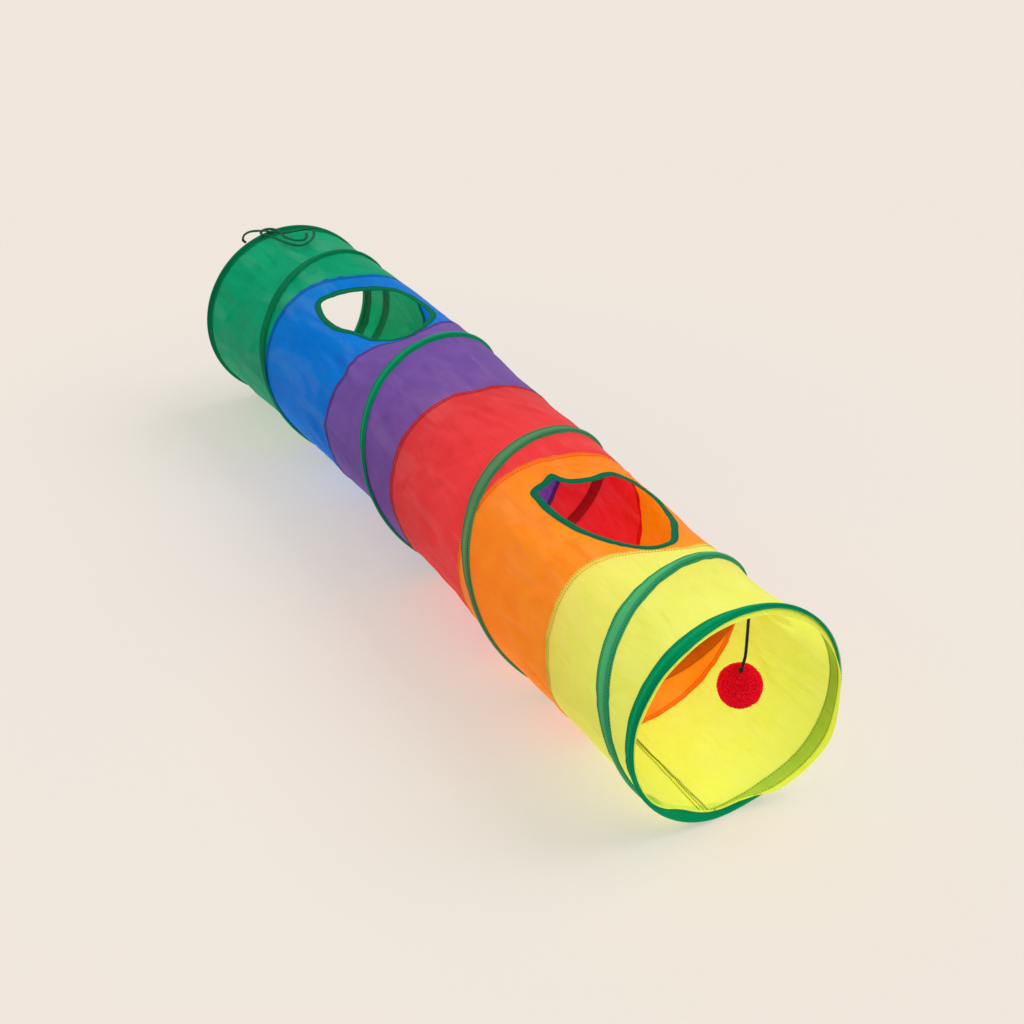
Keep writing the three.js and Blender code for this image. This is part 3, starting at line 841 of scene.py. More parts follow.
def hanging_cord():
    """The pom-pom's laid cord of three plies, a little thinner at its ends."""
    route = [FRONT + Vector(point) * MM for point in POM_CORD_ROUTE]
    points = curve_points(route, int(line_length(curve_points(route, FINE_STEPS)) / CORD_STEP) + 2)
    count = np.arange(len(points))
    from_end = np.minimum(count, count[::-1])
    angles = np.linspace(0, 2 * np.pi, CORD_SIDES, endpoint=False)[None]
    twist = 2 * np.pi * CORD_STEP / LAY_LENGTH * count[:, None]
    radii = (POM_CORD_RADIUS * np.where(from_end < 3, 0.55 + 0.15 * from_end, 1))[:, None]
    radii = radii * (1 - PLY_DEPTH + PLY_DEPTH * np.abs(np.cos(PLIES * (angles - twist) / 2)))
    rings = tube_rings(points, radii, CORD_SIDES)
    return swept_piece("hanging_cord", rings, False, cord_black, ["pom_pom_cord"]), points


def laid_ribbon(name, node, route, material):
    """A flat woven tie along a smooth route. It lies on the tunnel and tips a little from side to side."""
    count = int(line_length(route_round(curve_points(route, FINE_STEPS))) / CORD_STEP) + 2
    line = curve_points(route, count)
    points = route_round(line)
    along = unit(np.gradient(points, axis=0))
    turned = np.radians(line[:, 1])
    out = np.stack([np.zeros(count), np.cos(turned), np.sin(turned)], 1)
    side = unit(np.cross(out, along))
    out = np.cross(along, side)
    tip = TIE_TIP * wavy(len(node), 7, np.linspace(0, 0.99, count))[:, None]
    side, out = side * np.cos(tip) + out * np.sin(tip), out * np.cos(tip) - side * np.sin(tip)
    turn = np.linspace(0, 2 * np.pi, RIBBON_SIDES, endpoint=False)[None, :, None]
    rings = (
        points[:, None] + side[:, None] * np.cos(turn) * TIE_HALF_WIDTH
        + out[:, None] * np.sin(turn) * TIE_HALF_THICKNESS
    )
    return swept_piece(name, rings, False, material, [node]), points


def make_knot():
    """The knot of the hanging cord, in front of the pom-pom: a closed overhand knot."""
    t = np.linspace(0, 2 * np.pi, 90, endpoint=False)
    route = np.stack([
        -1.3 * np.sin(3 * t), np.sin(t) + 2 * np.sin(2 * t), np.cos(t) - 2 * np.cos(2 * t),
    ], 1)
    points = np.array(FRONT + KNOT_PLACE) + route * KNOT_SIZE
    rings = tube_rings(points, KNOT_CORD_RADIUS, CORD_SIDES, closed=True)
    swept_piece("cord_knot", rings, True, cord_black)


cord_black = fibre_material("cord_black", rgb(8, 8, 9), rgb(34, 34, 36), 900, 0.7, 0.2 * MM, 0.2)
cord_green = fibre_material("tie_green", rgb(0, 66, 46), rgb(0, 98, 68), 800, 0.6, 0.2 * MM)


def make_cords():
    piece, points = hanging_cord()
    for node, route, far_end in (
        ("tie_cord", TIE_CORD_ROUTE, "bare"), ("tie_loop", TIE_LOOP_ROUTE, "object"),
    ):
        piece, points = laid_ribbon("laid_" + node, node, route, cord_green)


make_cords()
make_knot()

# Panels

# A panel's cloth, the painted shade that a tape on its far side leaves on its inner face, and the middle of
# a tape that lies on it
Panel = namedtuple("Panel", "name color taped tape")
PANELS = [
    Panel("green", rgb(0, 198, 152), rgb(190, 235, 210), rgb(0, 142, 96)),
    Panel("blue", rgb(0, 164, 242), rgb(190, 220, 200), rgb(14, 184, 136)),
    Panel("purple", rgb(160, 118, 206), rgb(200, 210, 195), rgb(14, 184, 130)),
    Panel("red", rgb(246, 90, 96), rgb(240, 170, 168), rgb(118, 172, 122)),
    Panel("orange", rgb(255, 186, 54), rgb(245, 200, 160), rgb(142, 180, 120)),
    Panel("yellow", rgb(246, 252, 152), rgb(236, 250, 222), rgb(104, 206, 150)),
]
MOUTH_TAPE_TONE = {"front_mouth": rgb(0, 184, 126), "back_mouth": rgb(0, 138, 92)}
CLOTH_THICKNESS = 0.35 * MM
DOUBLED_THICKNESS = 0.7 * MM
LAP = 8 * MM
SEAM_REACH = 20 * MM
LAP_UP = 0.2 * MM
LAP_DOWN = 0.4 * MM
LONG_SEAM_X = MM * np.array([-1150, -150, -27])
LONG_SEAM_ANGLE = [262, 261, 258.2]
LONG_SEAM_HALF = 4.5 * MM
ANGLE_ROWS = 264
GRID_STEP = 2.9 * MM
NEVER = -50 * MM


def grid_angles():
    """Angles once round the tunnel, from its lengthwise seam."""
    start = LONG_SEAM_ANGLE[0] - 360
    return np.linspace(start, start + 360, ANGLE_ROWS, endpoint=False)


def signed_lap(x, low, high):
    """How far inside a band from low to high a place is, or outside where it is negative."""
    return np.minimum(x - low, high - x)


# Where the coil's tape lies beside its wire, and what its half width has more than the mouths' tapes there
COIL_TAPE_X = MM * np.array([-1064, -1010, -960, -712, -650, -440, -400, -345, -105, -87, -49, -25])
COIL_TAPE_SHIFT = MM * np.array([-5, -6, -6, -4, -4, -5, -6, -5, -4.5, -4.5, -5, -5])
COIL_TAPE_EXTRA = MM * np.array([0, 0, 0, 0, -2.2, 0.5, 0.5, 0.2, -1, -0.6, 2.4, 2.8])


def tape_half(x):
    share = np.clip(-x / COIL_LENGTH, 0, 1)
    return FRONT_TAPE_HALF + (BACK_TAPE_HALF - FRONT_TAPE_HALF) * share


def coil_tape_half(x):
    return tape_half(x) + np.interp(x, COIL_TAPE_X, COIL_TAPE_EXTRA)


def coil_tape_shift(x):
    return np.interp(x, COIL_TAPE_X, COIL_TAPE_SHIFT)


def tape_cover(x, angle):
    """How far inside the edge of the nearest tape a place lies, or outside it where it is negative."""
    from_mouth = np.minimum(np.abs(x), np.abs(x + COIL_LENGTH))
    on_coil = step_between(from_mouth, 20 * MM, 40 * MM)
    t, gap = between_wires(x - coil_tape_shift(x) * on_coil, angle)
    distance = np.minimum(t, 1 - t) * gap + np.maximum(-COIL_LENGTH - x, 0)
    inside = (coil_tape_half(x) - 1.2 * MM) * on_coil + tape_half(x) * (1 - on_coil) - distance
    return np.where(x > 0, FRONT_TAPE_HALF * around_value(TAPE_KEPT, angle) - x, inside)


def long_seam_angle(x):
    return np.interp(x, LONG_SEAM_X, LONG_SEAM_ANGLE)


def long_seam_distance(x, angle):
    return np.abs(angle_from(long_seam_angle(x), angle)) * np.pi / 180 * COIL_RADIUS


def panel_columns(number, angles):
    """x at each grid point of a panel, with the places of its two seams."""
    back_hem, front_hem = number == 0, number == len(SEAMS)
    turn = angles / 360
    if back_hem:
        start = -COIL_LENGTH - BACK_HEM - 0.5 * MM * wavy(31, 40, turn)
        knots = [start, np.full_like(angles, -COIL_LENGTH + 12 * MM)]
        counts = [14]
    else:
        start = seam_x(SEAMS[number - 1], angles) + 0.3 * MM * wavy(40 + number, 90, turn)
        knots = [start, start + LAP + 1.5 * MM]
        counts = [5]
    if front_hem:
        end = FRONT_HEM * around_value(HEM_KEPT, angles) + 0.6 * MM * wavy(33, 36, turn)
        before = np.full_like(angles, -14 * MM)
    else:
        seam = seam_x(SEAMS[number], angles)
        ragged = 1 + 0.1 * wavy(50 + number, 60, turn) + 0.05 * wavy(60 + number, 170, turn)
        end = seam + LAP * ragged
        before = seam - 4 * MM
    knots += [before, end]
    length = float(np.mean(knots[-2] - knots[-3]))
    counts += [int(round(length / GRID_STEP)), 16 if front_hem else 5]
    columns = [knots[0][:, None]]
    for low, high, count in zip(knots[:-1], knots[1:], counts):
        share = np.arange(1, count + 1) / count
        columns.append(low[:, None] + (high - low)[:, None] * share)
    return np.concatenate(columns, 1)


def lap_rise(number, x, angle):
    """How far a panel's cloth lies over its neighbour at its back seam, and under it at its front seam."""
    rise = np.zeros_like(x)
    if number > 0:
        beyond = x - seam_x(SEAMS[number - 1], angle)
        rise += LAP_UP * (1 - step_between(beyond, LAP, LAP + 3 * MM))
    if number < len(SEAMS):
        beyond = x - seam_x(SEAMS[number], angle)
        rise -= LAP_DOWN * step_between(beyond, -4 * MM, -0.5 * MM)
    return rise


def panel_surface(number, x, angle):
    """Outer radius of a panel's cloth."""
    away = long_seam_distance(x, angle)
    ridge = 0.35 * MM * (1 - step_between(away, LONG_SEAM_HALF - 1 * MM, LONG_SEAM_HALF + 1 * MM))
    return cloth_radius(x, angle) + lap_rise(number, x, angle) + ridge * freedom(x, angle)


HOLE_WOBBLE = 1.5 * MM


def hole_outline(name, inset, count):
    """Points of a peephole's outline, inset from the binding's edge, as place along and length round."""
    corners = [(x * MM, math.radians(angle) * COIL_RADIUS) for x, angle in HOLES[name]]
    points = curve_points(corners, count, closed=True)
    middle = points.mean(0)
    along = unit(np.roll(points, -2, 0) - np.roll(points, 2, 0))
    inward = np.stack([-along[:, 1], along[:, 0]], 1)
    inward *= np.sign(((middle - points) * inward).sum())
    at = np.arange(count) / count
    wobble = HOLE_WOBBLE * (wavy(len(name) + 3, 13, at) + 0.5 * wavy(len(name) + 5, 29, at))
    return points + inward * (inset + wobble[:, None]), inward


def outline_distance(points, x, around):
    """Distance of places from a closed outline, negative inside it, and the nearest points on it."""
    flat = np.stack([x.ravel(), around.ravel()], 1)
    best, nearest = np.full(len(flat), np.inf), np.zeros_like(flat)
    inside = np.zeros(len(flat), bool)
    for start, end in zip(points, np.roll(points, -1, 0)):
        edge = end - start
        t = np.clip((flat - start) @ edge / edge.dot(edge), 0, 1)
        foot = start + t[:, None] * edge
        distance = np.linalg.norm(flat - foot, axis=1)
        closer = distance < best
        best[closer], nearest[closer] = distance[closer], foot[closer]
        crosses = (start[1] > flat[:, 1]) != (end[1] > flat[:, 1])
        rise = edge[1] if edge[1] else 1
        inside ^= crosses & (flat[:, 0] < start[0] + edge[0] * (flat[:, 1] - start[1]) / rise)
    return np.where(inside, -best, best).reshape(x.shape), nearest.reshape(x.shape + (2,))


CUT_INSET = 5.5 * MM


def cut_hole(name, x, angle):
    """Moves the grid points beside a peephole's cut edge onto it, and says which cells of the grid stay."""
    points, _ = hole_outline(name, CUT_INSET, 160)
    around = arc(angle)
    distance, nearest = outline_distance(points, x, around)
    snap = np.abs(distance) < 0.55 * GRID_STEP
    x, around = np.where(snap, nearest[..., 0], x), np.where(snap, nearest[..., 1], around)
    outside = (distance > 0) | snap
    after = np.roll(outside, -1, 0)
    keep = outside[:, :-1] & outside[:, 1:] & after[:, :-1] & after[:, 1:]
    return x, arc_angle(around), keep


def make_panel(number):
    panel = PANELS[number]
    node = "panel_" + panel.name
    angles = grid_angles()
    x = panel_columns(number, angles)
    angle = np.broadcast_to(angles[:, None], x.shape).copy()
    keep = None
    if panel.name in HOLES:
        x, angle, keep = cut_hole(panel.name, x, angle)
    outer_radius = panel_surface(number, x, angle)
    # How far inside doubled cloth a place lies, where the material deepens the colour, partly as painted
    # shade
    doubled = np.full_like(x, NEVER)
    if number > 0:
        beyond = x - seam_x(SEAMS[number - 1], angle)
        doubled = np.maximum(doubled, signed_lap(beyond, -SEAM_REACH, LAP))
    if number < len(SEAMS):
        beyond = x - seam_x(SEAMS[number], angle)
        doubled = np.maximum(doubled, signed_lap(beyond, 0, SEAM_REACH))
    hem = np.maximum(x + FRONT_TAPE_HALF, -COIL_LENGTH + BACK_TAPE_HALF - x)
    doubled = np.maximum(doubled, hem)
    doubled = np.maximum(doubled, LONG_SEAM_HALF - long_seam_distance(x, angle))
    thickness = np.where(hem > 0, DOUBLED_THICKNESS, CLOTH_THICKNESS)
    # How far under a tape a place lies; the material paints shade there on the inner face only
    taped = tape_cover(x, angle)
    outer = place_hemmed(x, angle, outer_radius, HEM_TURN_IN)
    inner = place_hemmed(x, angle, outer_radius - thickness, HEM_TURN_IN)
    flat = np.stack([x, arc(angle), np.zeros_like(x)], -1)
    material = cloth_material("cloth_" + panel.name, panel.color, panel.taped)
    piece = sheet_piece(
        panel.name + "_cloth", outer, inner, True, material, keep, [node],
        {"flat": flat, "doubled": doubled, "taped": (np.full_like(x, NEVER), taped)},
    )
    return piece, float(np.mean(x[:, -1] - x[:, 0]))


def make_panels():
    for number, panel in enumerate(PANELS):
        piece, length = make_panel(number)


make_panels()

# Tapes

TAPE_THICKNESS = 0.4 * MM
TAPE_CREST = 126.95 * MM
CREST_HALF = 1.2 * MM
TENT_HALF = 6.5 * MM
ON_CLOTH = 0.55 * MM
TAPE_COLUMNS = 17
COIL_TAPE_SUNK = 0.15 * MM


def under_color(x, angle):
    """Colour of a tape's middle, from the cloth that lies under it."""
    colors = np.array([panel.tape[:3] for panel in PANELS])
    tone = np.broadcast_to(colors[0], x.shape + (3,)).copy()
    for number, seam in enumerate(SEAMS):
        share = step_between(x - seam_x(seam, angle), -0.5 * MM, 0.5 * MM)[..., None]
        tone = tone * (1 - share) + colors[number + 1] * share
    return tone


def tape_surface(x, angle, v):
    """Outer radius of a tape at a distance v along the tunnel from its wire: a low tent over it."""
    low = cloth_radius(x, angle) + ON_CLOTH
    tent = 1 - step_between(np.abs(v), CREST_HALF, TENT_HALF)
    return low + (TAPE_CREST - low) * tent


def make_tape(name, wire_x, half, centre, angles, replaces, kept=1.0, tone=None):
    """A tape over a wire given by its x at each angle. Its middle lies centre away from the wire there,
    it has the share kept of its front half, and a mouth's tape has its own tone.
    """
    turn = angles / 360
    seed = len(name)
    half = half + 0.45 * MM * wavy(70 + seed, 70, turn) + 0.3 * MM * wavy(80 + seed, 31, turn)
    shift = 0.5 * MM * wavy(90 + seed, 24, turn)
    share = np.linspace(-1, 1, TAPE_COLUMNS)[None]
    kept = np.broadcast_to(kept, angles.shape)
    closed = tone is not None
    v = centre[:, None] + share * half[:, None] * np.where(share > 0, kept[:, None], 1)
    x = wire_x[:, None] + v + shift[:, None] * share ** 2
    angle = np.broadcast_to(angles[:, None], x.shape)
    sunk = 0 if closed else COIL_TAPE_SUNK
    radius = tape_surface(x, angle, v / np.where(v > 0, kept[:, None], 1)) - sunk
    if closed:
        outer = place_hemmed(x, angle, radius, TAPE_TURN_IN)
        inner = place_hemmed(x, angle, radius - TAPE_THICKNESS, TAPE_TURN_IN)
    else:
        outer, inner = place(x, angle, radius), place(x, angle, radius - TAPE_THICKNESS)
    marks = {
        "flat": np.stack([v, arc(angle), np.zeros_like(x)], -1),
        "across": np.broadcast_to(np.abs(share), x.shape),
        "under": np.broadcast_to(tone[:3], x.shape + (3,)) if closed else under_color(x, angle),
    }
    return sheet_piece(name, outer, inner, closed, tape_cloth, None, replaces, marks)


tape_cloth = tape_material(0.5)


def make_tapes():
    angles = grid_angles()
    for mouth, x in (("back_mouth", -COIL_LENGTH), ("front_mouth", 0)):
        half = float(tape_half(np.array(x)))
        kept = around_value(TAPE_KEPT, angles) if x == 0 else 1.0
        piece = make_tape(
            mouth + "_tape", np.full_like(angles, x), half, np.zeros_like(angles), angles,
            ["tape_" + mouth], kept, MOUTH_TAPE_TONE[mouth],
        )
    turns = (COIL_TAPE_LAST - COIL_TAPE_FIRST) / 360
    angles = np.linspace(COIL_TAPE_FIRST, COIL_TAPE_LAST, int(turns * ANGLE_ROWS))
    coil = ["tape_turn_1", "tape_turn_2", "tape_turn_3", "tape_turn_4"]
    wire_x = coil_x(angles)
    piece = make_tape("coil_tape", wire_x, coil_tape_half(wire_x), coil_tape_shift(wire_x), angles, coil)


make_tapes()

# Spring wire

WIRE_STEP = 2.5
WIRE_SIDES = 8


def make_wire():
    angles = np.arange(WIRE_FIRST, WIRE_LAST + WIRE_STEP / 2, WIRE_STEP)
    line = place(coil_x(angles), angles, np.full_like(angles, COIL_RADIUS))
    rings = tube_rings(line, WIRE_RADIUS, WIRE_SIDES)
    swept_piece("round_wire", rings, False, steel_material(), ["spring_wire"])


make_wire()

# Bindings

BINDING_POINTS = 260
# The folded strip's section, in millimetres: in from its outer edge, and out from the cloth's face
BINDING_PROFILE = [
    (0.0, 0.35), (0.15, 0.65), (1.6, 0.75), (4.2, 0.65), (6.8, 0.7), (8.2, 0.5), (8.8, -0.2),
    (8.2, -0.9), (6.8, -1.1), (4.2, -1.05), (1.6, -1.1), (0.15, -1.0), (0.0, -0.7),
    (0.2, -0.55), (4.2, -0.5), (7.7, -0.5), (8.1, -0.2), (7.7, 0.1), (4.2, 0.1), (0.2, 0.12),
]


def binding_point(outline, inward, v, rise):
    """A point of the folded strip: v in from its outer edge, and rise out from the cloth's face."""
    x = outline[:, 0] + inward[:, 0] * v
    angle = arc_angle(outline[:, 1] + inward[:, 1] * v)
    return place(x, angle, cloth_radius(x, angle) + rise)


def make_binding(name):
    outline, inward = hole_outline(name, 0, BINDING_POINTS)
    for _ in range(10):
        inward = unit(np.roll(inward, 1, 0) + 2 * inward + np.roll(inward, -1, 0))
    turn = np.arange(BINDING_POINTS) / BINDING_POINTS
    wave = 0.4 * MM * wavy(len(name), 34, turn) + 0.25 * MM * wavy(2 * len(name), 75, turn)
    rings = np.stack([
        binding_point(outline, inward, v * MM + wave * (1 if v < 4 else -0.7), rise * MM)
        for v, rise in BINDING_PROFILE
    ], 1)
    inset = np.array([v for v, _ in BINDING_PROFILE]) * MM
    along = np.linalg.norm(np.diff(outline, axis=0, append=outline[:1]), axis=1).cumsum()
    flat = np.stack(np.broadcast_arrays(inset[None], along[:, None], 0.0), -1).reshape(-1, 3)
    marks = {
        "flat": flat,
        "across": np.tile(np.abs(inset / BINDING_WIDTH * 2 - 1), BINDING_POINTS),
        "under": np.tile(BINDING_COLOR[:3], (len(flat), 1)),
    }
    piece = swept_piece(
        name + "_hole_binding", rings, True, binding_cloth, [f"binding_{name}_hole"],
        marks,
    )


BINDING_COLOR = rgb(2, 138, 98)
binding_cloth = tape_material(0.0)
for hole in HOLES:
    make_binding(hole)

# Pom-pom

POM_BASE = 20.6 * MM
TUFTS = 4600
TUFT_RADIUS = 0.62 * MM


def lumpy(rng, out, scale, waves):
    """Smooth lumps over a ball, from a sum of waves in random directions."""
    return np.sin(out @ rng.normal(0, scale, (3, waves)) + rng.uniform(0, 6, waves)).mean(1)


def make_core(rng):
    mesh = bmesh.new()
    bmesh.ops.create_icosphere(mesh, subdivisions=5, radius=1)
    core = np.array([v.co[:] for v in mesh.verts])
    faces = np.array([[v.index for v in face.verts] for face in mesh.faces])
    mesh.free()
    lumps, fuzz = lumpy(rng, core, 5, 9), lumpy(rng, core, 34, 12)
    return core * (POM_BASE + 0.9 * MM * lumps + 0.7 * MM * fuzz)[:, None], faces


def make_tufts(rng):
    """Short leaning tufts of three sides all over the core, and how far towards its tip each point is."""
    number = np.arange(TUFTS)
    height = 1 - 2 * (number + 0.5) / TUFTS
    spin = number * math.pi * (3 - math.sqrt(5))
    flat = np.sqrt(1 - height ** 2)
    out = np.stack([flat * np.cos(spin), flat * np.sin(spin), height], 1)
    out = unit(out + rng.normal(0, 0.012, out.shape))
    lumps = lumpy(rng, out, 6, 9)
    lean = unit(out + rng.normal(0, 0.3, out.shape))
    side = unit(np.cross(out, rng.normal(0, 1, out.shape)))
    over = np.cross(out, side)
    reach = POM_RADIUS - POM_BASE + 1.1 * MM * lumps + rng.uniform(-1.0, 0.6, TUFTS) * MM
    points, shares = [], []
    for share, width in ((0.0, 1.0), (0.45, 1.15), (0.85, 0.75)):
        middle = out * POM_BASE + (out * (1 - share) + lean * share) * (reach * share)[:, None]
        for corner in range(3):
            turn = corner * 2 * math.pi / 3 + share * 1.2
            rim = side * math.cos(turn) + over * math.sin(turn)
            points.append(middle + rim * TUFT_RADIUS * width)
            shares.append(share)
    points.append(out * POM_BASE + lean * reach[:, None])
    shares.append(1.0)
    pattern = []
    for a, b in ((0, 1), (1, 2), (2, 0), (3, 4), (4, 5), (5, 3)):
        pattern += [(a, b, b + 3), (a, b + 3, a + 3)]
    pattern += [(6, 7, 9), (7, 8, 9), (8, 6, 9), (0, 2, 1)]
    faces = (np.array(pattern)[None] + len(points) * number[:, None, None]).reshape(-1, 3)
    return np.stack(points, 1).reshape(-1, 3), faces, np.tile(shares, TUFTS)


def make_pom_pom():
    """A ball of cut yarn: a rough core and thousands of short tufts."""
    rng = np.random.default_rng(5)
    core, core_faces = make_core(rng)
    tufts, tuft_faces, tip = make_tufts(rng)
    points = np.concatenate([core, tufts]) + np.array(FRONT + POM_CENTRE)
    faces = np.concatenate([core_faces, tuft_faces + len(core)])
    marks = {"tip": np.concatenate([np.zeros(len(core)), tip])}
    new_piece("pom_pom_yarn", points, faces, yarn, ["pom_pom"], marks)


def yarn_material():
    material = new_material("pom_pom_yarn")
    strands = noise(material, object_place(material), 700, 3, 0.5)
    deep = mixed(material, ramp(material, strands, 0.3, 0.7), rgb(234, 0, 36), rgb(255, 36, 68))
    shaded = ramp(material, mark_of(material, "tip"), 0.0, 0.6, 0.55, 0.0)
    tone = mixed(material, shaded, deep, rgb(170, 0, 16))
    set_surface(material, {
        "Base Color": tone, "Roughness": 0.9, "Specular IOR Level": 0.05,
        "Normal": bumped(material, strands, 0.4, 0.3 * MM),
    })
    return material


yarn = yarn_material()
make_pom_pom()

# Stitches

STITCH_PITCH = 3.4 * MM
STITCH_LENGTH = 2.4 * MM
THREAD_RADIUS = 0.42 * MM
STITCH_TEMPLATE = [(-0.5, 0, -0.9)] + [
    (end, math.cos(turn), math.sin(turn))
    for end in (-0.3, 0.3)
    for turn in (math.pi / 2, math.pi * 7 / 6, math.pi * 11 / 6)
] + [(0.5, 0, -0.9)]
STITCH_FACES = [
    (0, 2, 1), (0, 3, 2), (0, 1, 3),
    (1, 2, 5), (1, 5, 4), (2, 3, 6), (2, 6, 5), (3, 1, 4), (3, 4, 6),
    (7, 4, 5), (7, 5, 6), (7, 6, 4),
]


def stitch_run(points, closed, inside=False):
    """Points of the stitches along a line on the cloth. They lie towards the axis where they are inside."""
    if closed:
        points = np.concatenate([points, points[:1]])
    length = np.concatenate([[0], np.linalg.norm(np.diff(points, axis=0), axis=1).cumsum()])
    count = int(length[-1] / STITCH_PITCH)
    at = (np.arange(count) + 0.5) * length[-1] / count

    def along(distance):
        return np.stack([np.interp(distance, length, points[:, k]) for k in range(3)], 1)

    middle = along(at)
    ahead = unit(along(at + 1 * MM) - along(at - 1 * MM))
    out = middle - np.array([0, FRONT.y, FRONT.z])
    out[:, 1] -= sway(middle[:, 0] - FRONT.x)
    out[:, 0] = 0
    out = unit(out) * (-1 if inside else 1)
    side = np.cross(out, ahead)
    template = np.array(STITCH_TEMPLATE)
    return (
        middle[:, None]
        + ahead[:, None] * (template[:, 0] * STITCH_LENGTH)[None, :, None]
        + side[:, None] * (template[:, 1] * THREAD_RADIUS)[None, :, None]
        + out[:, None] * (template[:, 2] * THREAD_RADIUS)[None, :, None]
    ).reshape(-1, 3)


def stitches(name, runs, material):
    points = np.concatenate(runs)
    points[:, 2] = np.maximum(points[:, 2], FLOOR_CLEAR)
    count = len(points) // len(STITCH_TEMPLATE)
    faces = np.array(STITCH_FACES)[None] + len(STITCH_TEMPLATE) * np.arange(count)[:, None, None]
    return new_piece(name, points, faces.reshape(-1, 3), material)


SEAM_STITCHES = (1.6 * MM, 6.2 * MM)
TAPE_STITCH_INSET = 1.6 * MM
LONG_SEAM_STITCH = 2.6 * MM
FINE_ANGLES = np.linspace(0, 360, 720, endpoint=False)
SEAM_THREADS = [
    (rgb(2, 48, 100), rgb(10, 74, 140)),
    (rgb(46, 22, 84), rgb(70, 40, 114)),
    (rgb(88, 10, 24), rgb(124, 20, 34)),
    (rgb(150, 52, 10), rgb(184, 78, 20)),
    (rgb(146, 112, 20), rgb(178, 142, 34)),
]


def thread_material(name, deep, light):
    return fibre_material("thread_" + name, deep, light, 1500, 0.6, 0.1 * MM)


def seam_run(number, offset, inside):
    x = seam_x(SEAMS[number], FINE_ANGLES) + offset
    radius = panel_surface(number + 1, x, FINE_ANGLES)
    if inside:
        radius = panel_surface(number, x, FINE_ANGLES) - CLOTH_THICKNESS
    return stitch_run(place(x, FINE_ANGLES, radius), True, inside)


def make_seam_stitches():
    for number in range(len(SEAMS)):
        front = PANELS[number + 1].name
        runs = [seam_run(number, offset, inside) for offset in SEAM_STITCHES for inside in (False, True)]
        thread = thread_material(front, *SEAM_THREADS[number])
        stitches("seam_stitches_" + front, runs, thread)


def tape_run(wire_x, angles, v, closed, inside):
    """Stitches of a tape at a distance v along the tunnel from its wire at each angle."""
    x = wire_x + v
    turn_in = HEM_TURN_IN if inside else TAPE_TURN_IN
    radius = tape_surface(x, angles, v)
    if inside:
        radius = cloth_radius(x, angles) - (DOUBLED_THICKNESS if closed else CLOTH_THICKNESS)
    points = place_hemmed(x, angles, radius, turn_in) if closed else place(x, angles, radius)
    return stitch_run(points, closed, inside)


def make_tape_stitches():
    runs = []
    coil = np.linspace(COIL_TAPE_FIRST + 6, COIL_TAPE_LAST - 6, 2800)
    for side in (-1, 1):
        for inside in (False, True):
            for mouth, half in ((-COIL_LENGTH, BACK_TAPE_HALF), (0.0, FRONT_TAPE_HALF)):
                wire = np.full_like(FINE_ANGLES, mouth)
                kept = around_value(TAPE_KEPT, FINE_ANGLES) if mouth == 0 and side > 0 else 1
                v = side * (half * kept - TAPE_STITCH_INSET)
                runs.append(tape_run(wire, FINE_ANGLES, v, True, inside))
            wire = coil_x(coil)
            v = coil_tape_shift(wire) + side * (coil_tape_half(wire) - TAPE_STITCH_INSET)
            runs.append(tape_run(wire, coil, v, False, inside))
    stitches("tape_stitches", runs, thread_material("tape", rgb(2, 74, 50), rgb(8, 104, 72)))


def make_binding_stitches():
    runs = []
    for name in HOLES:
        outline, inward = hole_outline(name, 0, BINDING_POINTS)
        for rise, inside in ((0.85 * MM, False), (-1.15 * MM, True)):
            points = binding_point(outline, inward, 1.8 * MM, rise)
            runs.append(stitch_run(points, True, inside))
    thread = thread_material("binding", rgb(2, 60, 42), rgb(6, 84, 60))
    stitches("binding_stitches", runs, thread)


def make_long_seam():
    """The two rows of the lengthwise seam, which sink a little past the last seam round the tunnel."""
    runs = []
    x = np.linspace(-COIL_LENGTH - 8 * MM, 12 * MM, 900)
    for offset in (-LONG_SEAM_STITCH, LONG_SEAM_STITCH):
        angle = long_seam_angle(x) + math.degrees(offset / COIL_RADIUS)
        radius = panel_surface(-1, x, angle)
        runs.append(stitch_run(place_hemmed(x, angle, radius, HEM_TURN_IN), False))
        inner = radius - np.where(x > -FRONT_TAPE_HALF, DOUBLED_THICKNESS, CLOTH_THICKNESS)
        runs.append(stitch_run(place_hemmed(x, angle, inner, HEM_TURN_IN), False, True))
    thread = thread_material("dark", rgb(40, 52, 16), rgb(84, 92, 30))
    stitches("long_seam_stitches", runs, thread)


make_seam_stitches()
make_tape_stitches()
make_binding_stitches()
make_long_seam()

# Floor, light and finish

FLOOR_HALF = 30
FLOOR_MATTE = 0.66
FLOOR_LIFT = 0.37
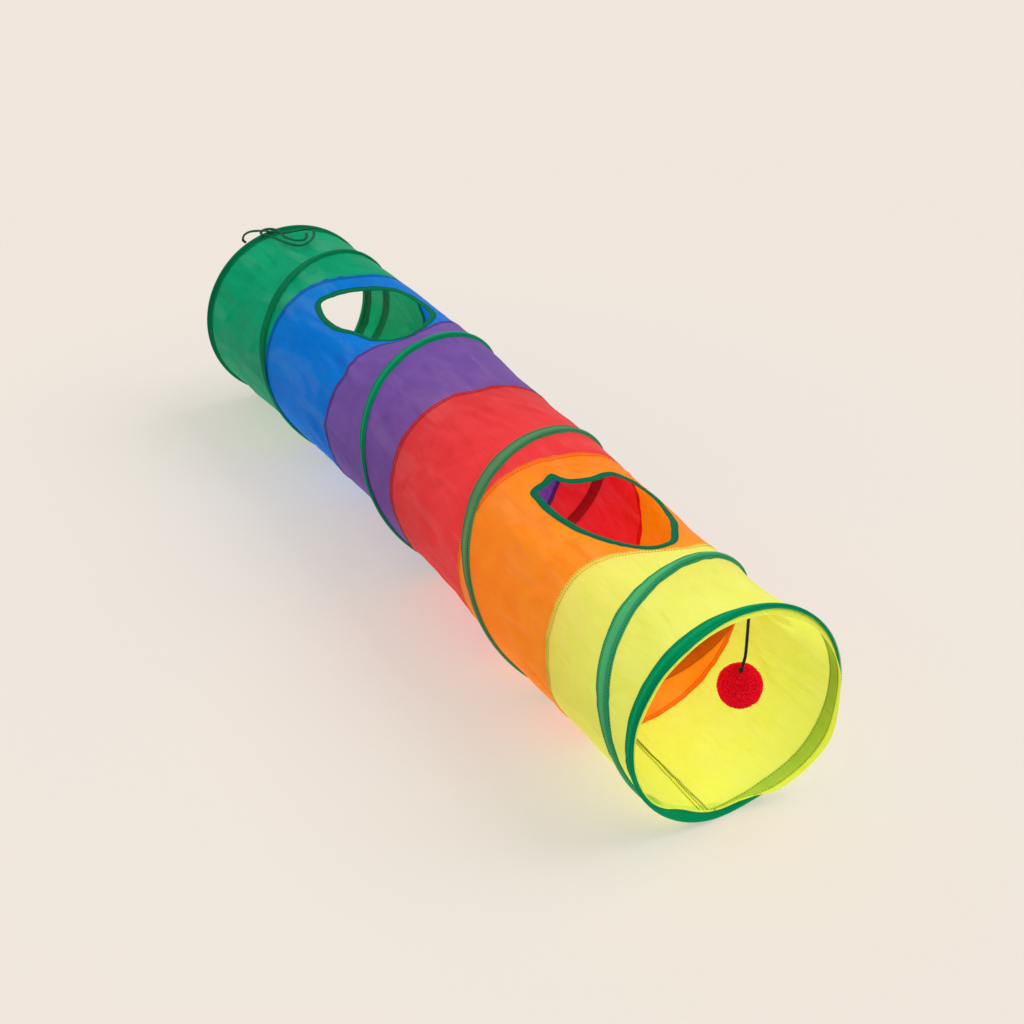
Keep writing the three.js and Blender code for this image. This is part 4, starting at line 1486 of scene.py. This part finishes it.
# Soft suns: strength, width across the sky, azimuth from +Y towards +X, height, whether it casts shadows
Sun = namedtuple("Sun", "name strength width azimuth height shadow")
SUNS = [Sun("sun", 1.0, 40, 15, 50, True), Sun("sheen_light", 1.15, 14, -105, 62, False)]
SUN_COLOR = (1.0, 0.93, 0.83)
WORLD_COLOR = (0.97, 0.99, 1.0, 1)
WORLD_STRENGTH = 0.64


def make_floor():
    corners = FLOOR_HALF * np.array([(-1, -1, 0), (1, -1, 0), (1, 1, 0), (-1, 1, 0)])
    mesh = mesh_of("floor", corners, np.array([[0, 1, 2, 3]]))
    material = new_material("floor")
    distance = add_node(
        material, "VectorMath", {0: object_place(material)}, operation="LENGTH",
    ).outputs["Value"]
    tone = mixed(material, ramp(material, distance, 0.2, 1.5), rgb(224, 219, 213), rgb(226, 217, 210))
    set_surface(material, {
        "Base Color": mixed(material, 1.0, tone, (FLOOR_MATTE, FLOOR_MATTE, FLOOR_MATTE, 1), "MULTIPLY"),
        "Roughness": 0.9, "Specular IOR Level": 0.1,
        "Emission Color": tone, "Emission Strength": FLOOR_LIFT,
    })
    mesh.materials.append(material)
    floor = bpy.data.objects.new("floor", mesh)
    bpy.context.scene.collection.objects.link(floor)


def make_sun(row):
    sun = bpy.data.objects.new(row.name, bpy.data.lights.new(row.name, "SUN"))
    sun.data.energy = row.strength
    sun.data.angle = math.radians(row.width)
    sun.data.color = SUN_COLOR
    sun.data.use_shadow = row.shadow
    azimuth, height = math.radians(row.azimuth), math.radians(row.height)
    towards = Vector((
        math.sin(azimuth) * math.cos(height), math.cos(azimuth) * math.cos(height), math.sin(height),
    ))
    sun.rotation_euler = towards.to_track_quat("Z", "Y").to_euler()
    bpy.context.scene.collection.objects.link(sun)


def make_world():
    world = bpy.data.worlds.new("world")
    bpy.context.scene.world = world
    world.use_nodes = True
    background = world.node_tree.nodes["Background"]
    background.inputs["Color"].default_value = WORLD_COLOR
    background.inputs["Strength"].default_value = WORLD_STRENGTH


make_floor()
for row in SUNS:
    make_sun(row)
make_world()
bpy.context.scene.view_settings.view_transform = "Standard"
# Light goes through two or more layers of cloth to reach the inside and the floor
bpy.context.scene.cycles.max_bounces = 16
bpy.context.scene.cycles.diffuse_bounces = 8
bpy.context.scene.cycles.transmission_bounces = 16
